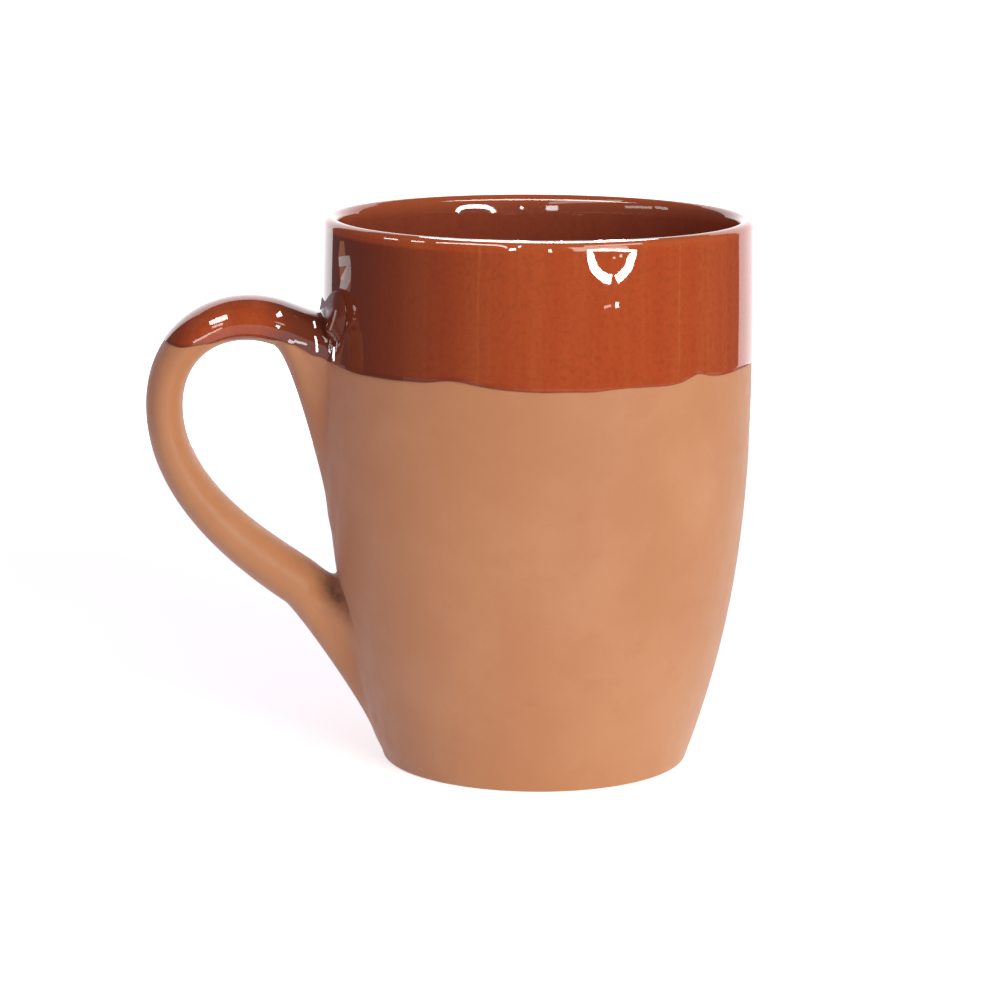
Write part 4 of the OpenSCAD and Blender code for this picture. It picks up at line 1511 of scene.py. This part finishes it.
class MUG_OT_stage(bpy.types.Operator):
    """Set the camera, the floor, the backdrop, the lamps and the cards"""
    bl_idname = "mug.stage"
    bl_label = "Studio"

    SENSOR = 36
    # The floor lies a hair under the foot
    FLOOR_SIDES = 96
    FLOOR_DROP = 0.02 * MM
    # The backdrop, as wide as its reflections show, from behind the mug to both sides
    BACKDROP_DISTANCE = 1.6
    BACKDROP_LEFT = math.radians(39)
    BACKDROP_RIGHT = math.radians(48)
    BACKDROP_LOW = -0.6
    BACKDROP_HEIGHT = 1.9
    BACKDROP_STEPS = 32
    # The world's even light is a little magenta, and the key lamp's a little green
    AMBIENT_TINT = (1.0, 0.85, 1.04)
    KEY_TINT = (1.0, 1.05, 0.87)
    KEY_DISTANCE = 0.95
    KEY_SIZE = 0.5
    KEY_AIM = Vector((0, 0, 60 * MM))
    LIP_STRIP_STEPS = 48
    MIRRORING = ("dip_skin", "handle_skin", "collar_roll", "lining_skin", "mug_body")

    def execute(self, context):
        studio = context.scene.mug_studio
        self.add_camera(context, studio)
        self.add_floor(studio)
        self.add_backdrop(studio)
        self.set_world(context, studio)
        self.add_lamps(studio)
        self.add_lip_strip(studio, context.scene.mug_body)
        self.add_glints(context.scene.camera)
        context.scene.view_settings.view_transform = "Standard"
        return {"FINISHED"}

    def add_camera(self, context, studio):
        data = bpy.data.cameras.new("studio_camera")
        data.lens = studio.lens
        data.sensor_width = self.SENSOR
        camera = bpy.data.objects.new("studio_camera", data)
        context.scene.collection.objects.link(camera)
        turn = studio.camera_round
        place = Vector((math.sin(turn) * studio.camera_distance,
                        -math.cos(turn) * studio.camera_distance, studio.camera_height))
        camera.matrix_world = (
            Matrix.Translation(place)
            @ Matrix.Rotation(turn + studio.camera_aim, 4, "Z")
            @ Matrix.Rotation(math.pi / 2 - studio.camera_pitch, 4, "X")
            @ Matrix.Rotation(studio.camera_roll, 4, "Z"))
        context.scene.camera = camera
        context.view_layer.update()

    def add_floor(self, studio):
        bm = bmesh.new()
        bmesh.ops.create_circle(
            bm, segments=self.FLOOR_SIDES, radius=studio.floor_radius, cap_ends=True,
            matrix=Matrix.Translation((0, 0, -self.FLOOR_DROP)))
        white = white_stage_material("floor_white", albedo=0.9, glow=0.68)
        leave_out(add_stage_mesh(bm, "floor", white), "collar_roll", "dip_skin")

    def add_backdrop(self, studio):
        """White backdrop, spun round the mug from its left edge"""
        left = math.pi - studio.camera_round - self.BACKDROP_LEFT
        bm = bmesh.new()
        start = Vector((-math.sin(left) * self.BACKDROP_DISTANCE,
                        -math.cos(left) * self.BACKDROP_DISTANCE, self.BACKDROP_LOW))
        low = bm.verts.new(start)
        high = bm.verts.new(start + Vector((0, 0, self.BACKDROP_HEIGHT)))
        edge = bm.edges.new((low, high))
        bmesh.ops.spin(bm, geom=[low, high, edge], cent=(0, 0, 0), axis=(0, 0, -1),
                       angle=self.BACKDROP_LEFT + self.BACKDROP_RIGHT,
                       steps=self.BACKDROP_STEPS)
        white = white_stage_material("backdrop_white", albedo=0.8, glow=1.5)
        leave_out(add_stage_mesh(bm, "backdrop", white), "collar_roll")

    def set_world(self, context, studio):
        """White to the camera, dark in reflections, and an even light on all else"""
        world = bpy.data.worlds.new("studio_world")
        context.scene.world = world
        graph = NodeGraph(world)
        path = graph.nodes.new("ShaderNodeLightPath").outputs
        strength = graph.blend(
            path["Is Glossy Ray"], studio.ambient, studio.mirrored, data_type="FLOAT")
        graph.fill(graph.nodes["Background"], {
            "Color": graph.blend(ray_switch(graph, path), self.AMBIENT_TINT, WHITE),
            "Strength": graph.blend(path["Is Camera Ray"], strength, 1.0, data_type="FLOAT")})

    def add_key_lamp(self, name, studio):
        """An area lamp that faces the mug"""
        turn, rise = studio.key_turn, studio.key_rise
        direction = Vector((math.sin(turn) * math.cos(rise),
                            -math.cos(turn) * math.cos(rise), math.sin(rise)))
        data = bpy.data.lights.new(name, "AREA")
        data.size = self.KEY_SIZE
        data.energy = studio.key_power
        data.color = self.KEY_TINT
        lamp = bpy.data.objects.new(name, data)
        lamp.location = self.KEY_AIM + direction * self.KEY_DISTANCE
        lamp.rotation_euler = direction.to_track_quat("Z", "Y").to_euler()
        lamp.visible_camera = False
        bpy.context.scene.collection.objects.link(lamp)
        return lamp

    def add_lamps(self, studio):
        """The key lamp, in two parts: the lining is lit by it and doesn't mirror it"""
        outside = self.add_key_lamp("key", studio)
        leave_out(outside, "lining_skin")
        inside = self.add_key_lamp("lining_key", studio)
        light_only(inside, "lining_skin")
        inside.visible_glossy = False

    def add_lip_strip(self, studio, body):
        """A strip over the mouth, which the crest of the near lip mirrors"""
        bm = bmesh.new()
        height = body.height + studio.lip_strip_rise
        ends = [bm.verts.new((radius, 0, height)) for radius in studio.lip_strip_radii]
        edge = bm.edges.new(ends)
        start = studio.camera_round - math.pi / 2 - studio.lip_strip_turn / 2
        bmesh.ops.rotate(bm, verts=ends, cent=(0, 0, 0), matrix=Matrix.Rotation(start, 3, "Z"))
        bmesh.ops.spin(bm, geom=[*ends, edge], cent=(0, 0, 0), axis=(0, 0, 1),
                       angle=studio.lip_strip_turn, steps=self.LIP_STRIP_STEPS)
        light_only(add_card(bm, "lip_strip", WHITE, studio.lip_strip_glow),
                   "dip_skin", "lining_skin")

    def add_glints(self, camera):
        """The small cards, each group lighting its own pieces"""
        mirror = PictureMirror(camera, self.MIRRORING)
        for group, distance, colour, glints, pieces in GLINT_GROUPS:
            lit = pieces_lit(group, pieces)
            for i, (strength, line) in enumerate(glints):
                bm = glint_mesh(mirror, distance, line)
                card = add_card(bm, "%s_%d" % (group, i + 1), colour, strength)
                card.light_linking.receiver_collection = lit


class MUG_PT_panel(bpy.types.Panel):
    """Sizes, colours and steps of the mug"""
    bl_label = "Terracotta Mug"
    bl_idname = "MUG_PT_panel"
    bl_space_type = "VIEW_3D"
    bl_region_type = "UI"
    bl_category = "Mug"

    def draw(self, context):
        scene = context.scene
        for group in (scene.mug_body, scene.mug_handle, scene.mug_glaze,
                      scene.mug_colours, scene.mug_studio):
            box = self.layout.box()
            for name in group.__annotations__:
                box.prop(group, name)
        for step in STEPS:
            self.layout.operator(step.bl_idname)


GROUPS = {"mug_body": MugBody, "mug_handle": MugHandle, "mug_glaze": MugGlaze,
          "mug_colours": MugColours, "mug_studio": MugStudio}
STEPS = (MUG_OT_body, MUG_OT_handle, MUG_OT_slip, MUG_OT_collar, MUG_OT_lining, MUG_OT_dip,
         MUG_OT_handle_glaze, MUG_OT_stage)


def register():
    for name, group in GROUPS.items():
        bpy.utils.register_class(group)
        setattr(bpy.types.Scene, name, PointerProperty(type=group))
    for step in STEPS:
        bpy.utils.register_class(step)
    bpy.utils.register_class(MUG_PT_panel)


def unregister():
    bpy.utils.unregister_class(MUG_PT_panel)
    for step in reversed(STEPS):
        bpy.utils.unregister_class(step)
    for name, group in GROUPS.items():
        delattr(bpy.types.Scene, name)
        bpy.utils.unregister_class(group)


def main():
    register()
    bpy.ops.mug.body()
    bpy.ops.mug.handle()
    bpy.ops.mug.slip()
    bpy.ops.mug.collar()
    bpy.ops.mug.lining()
    bpy.ops.mug.dip()
    bpy.ops.mug.handle_glaze()
    bpy.ops.mug.stage()


if __name__ == "__main__":
    main()
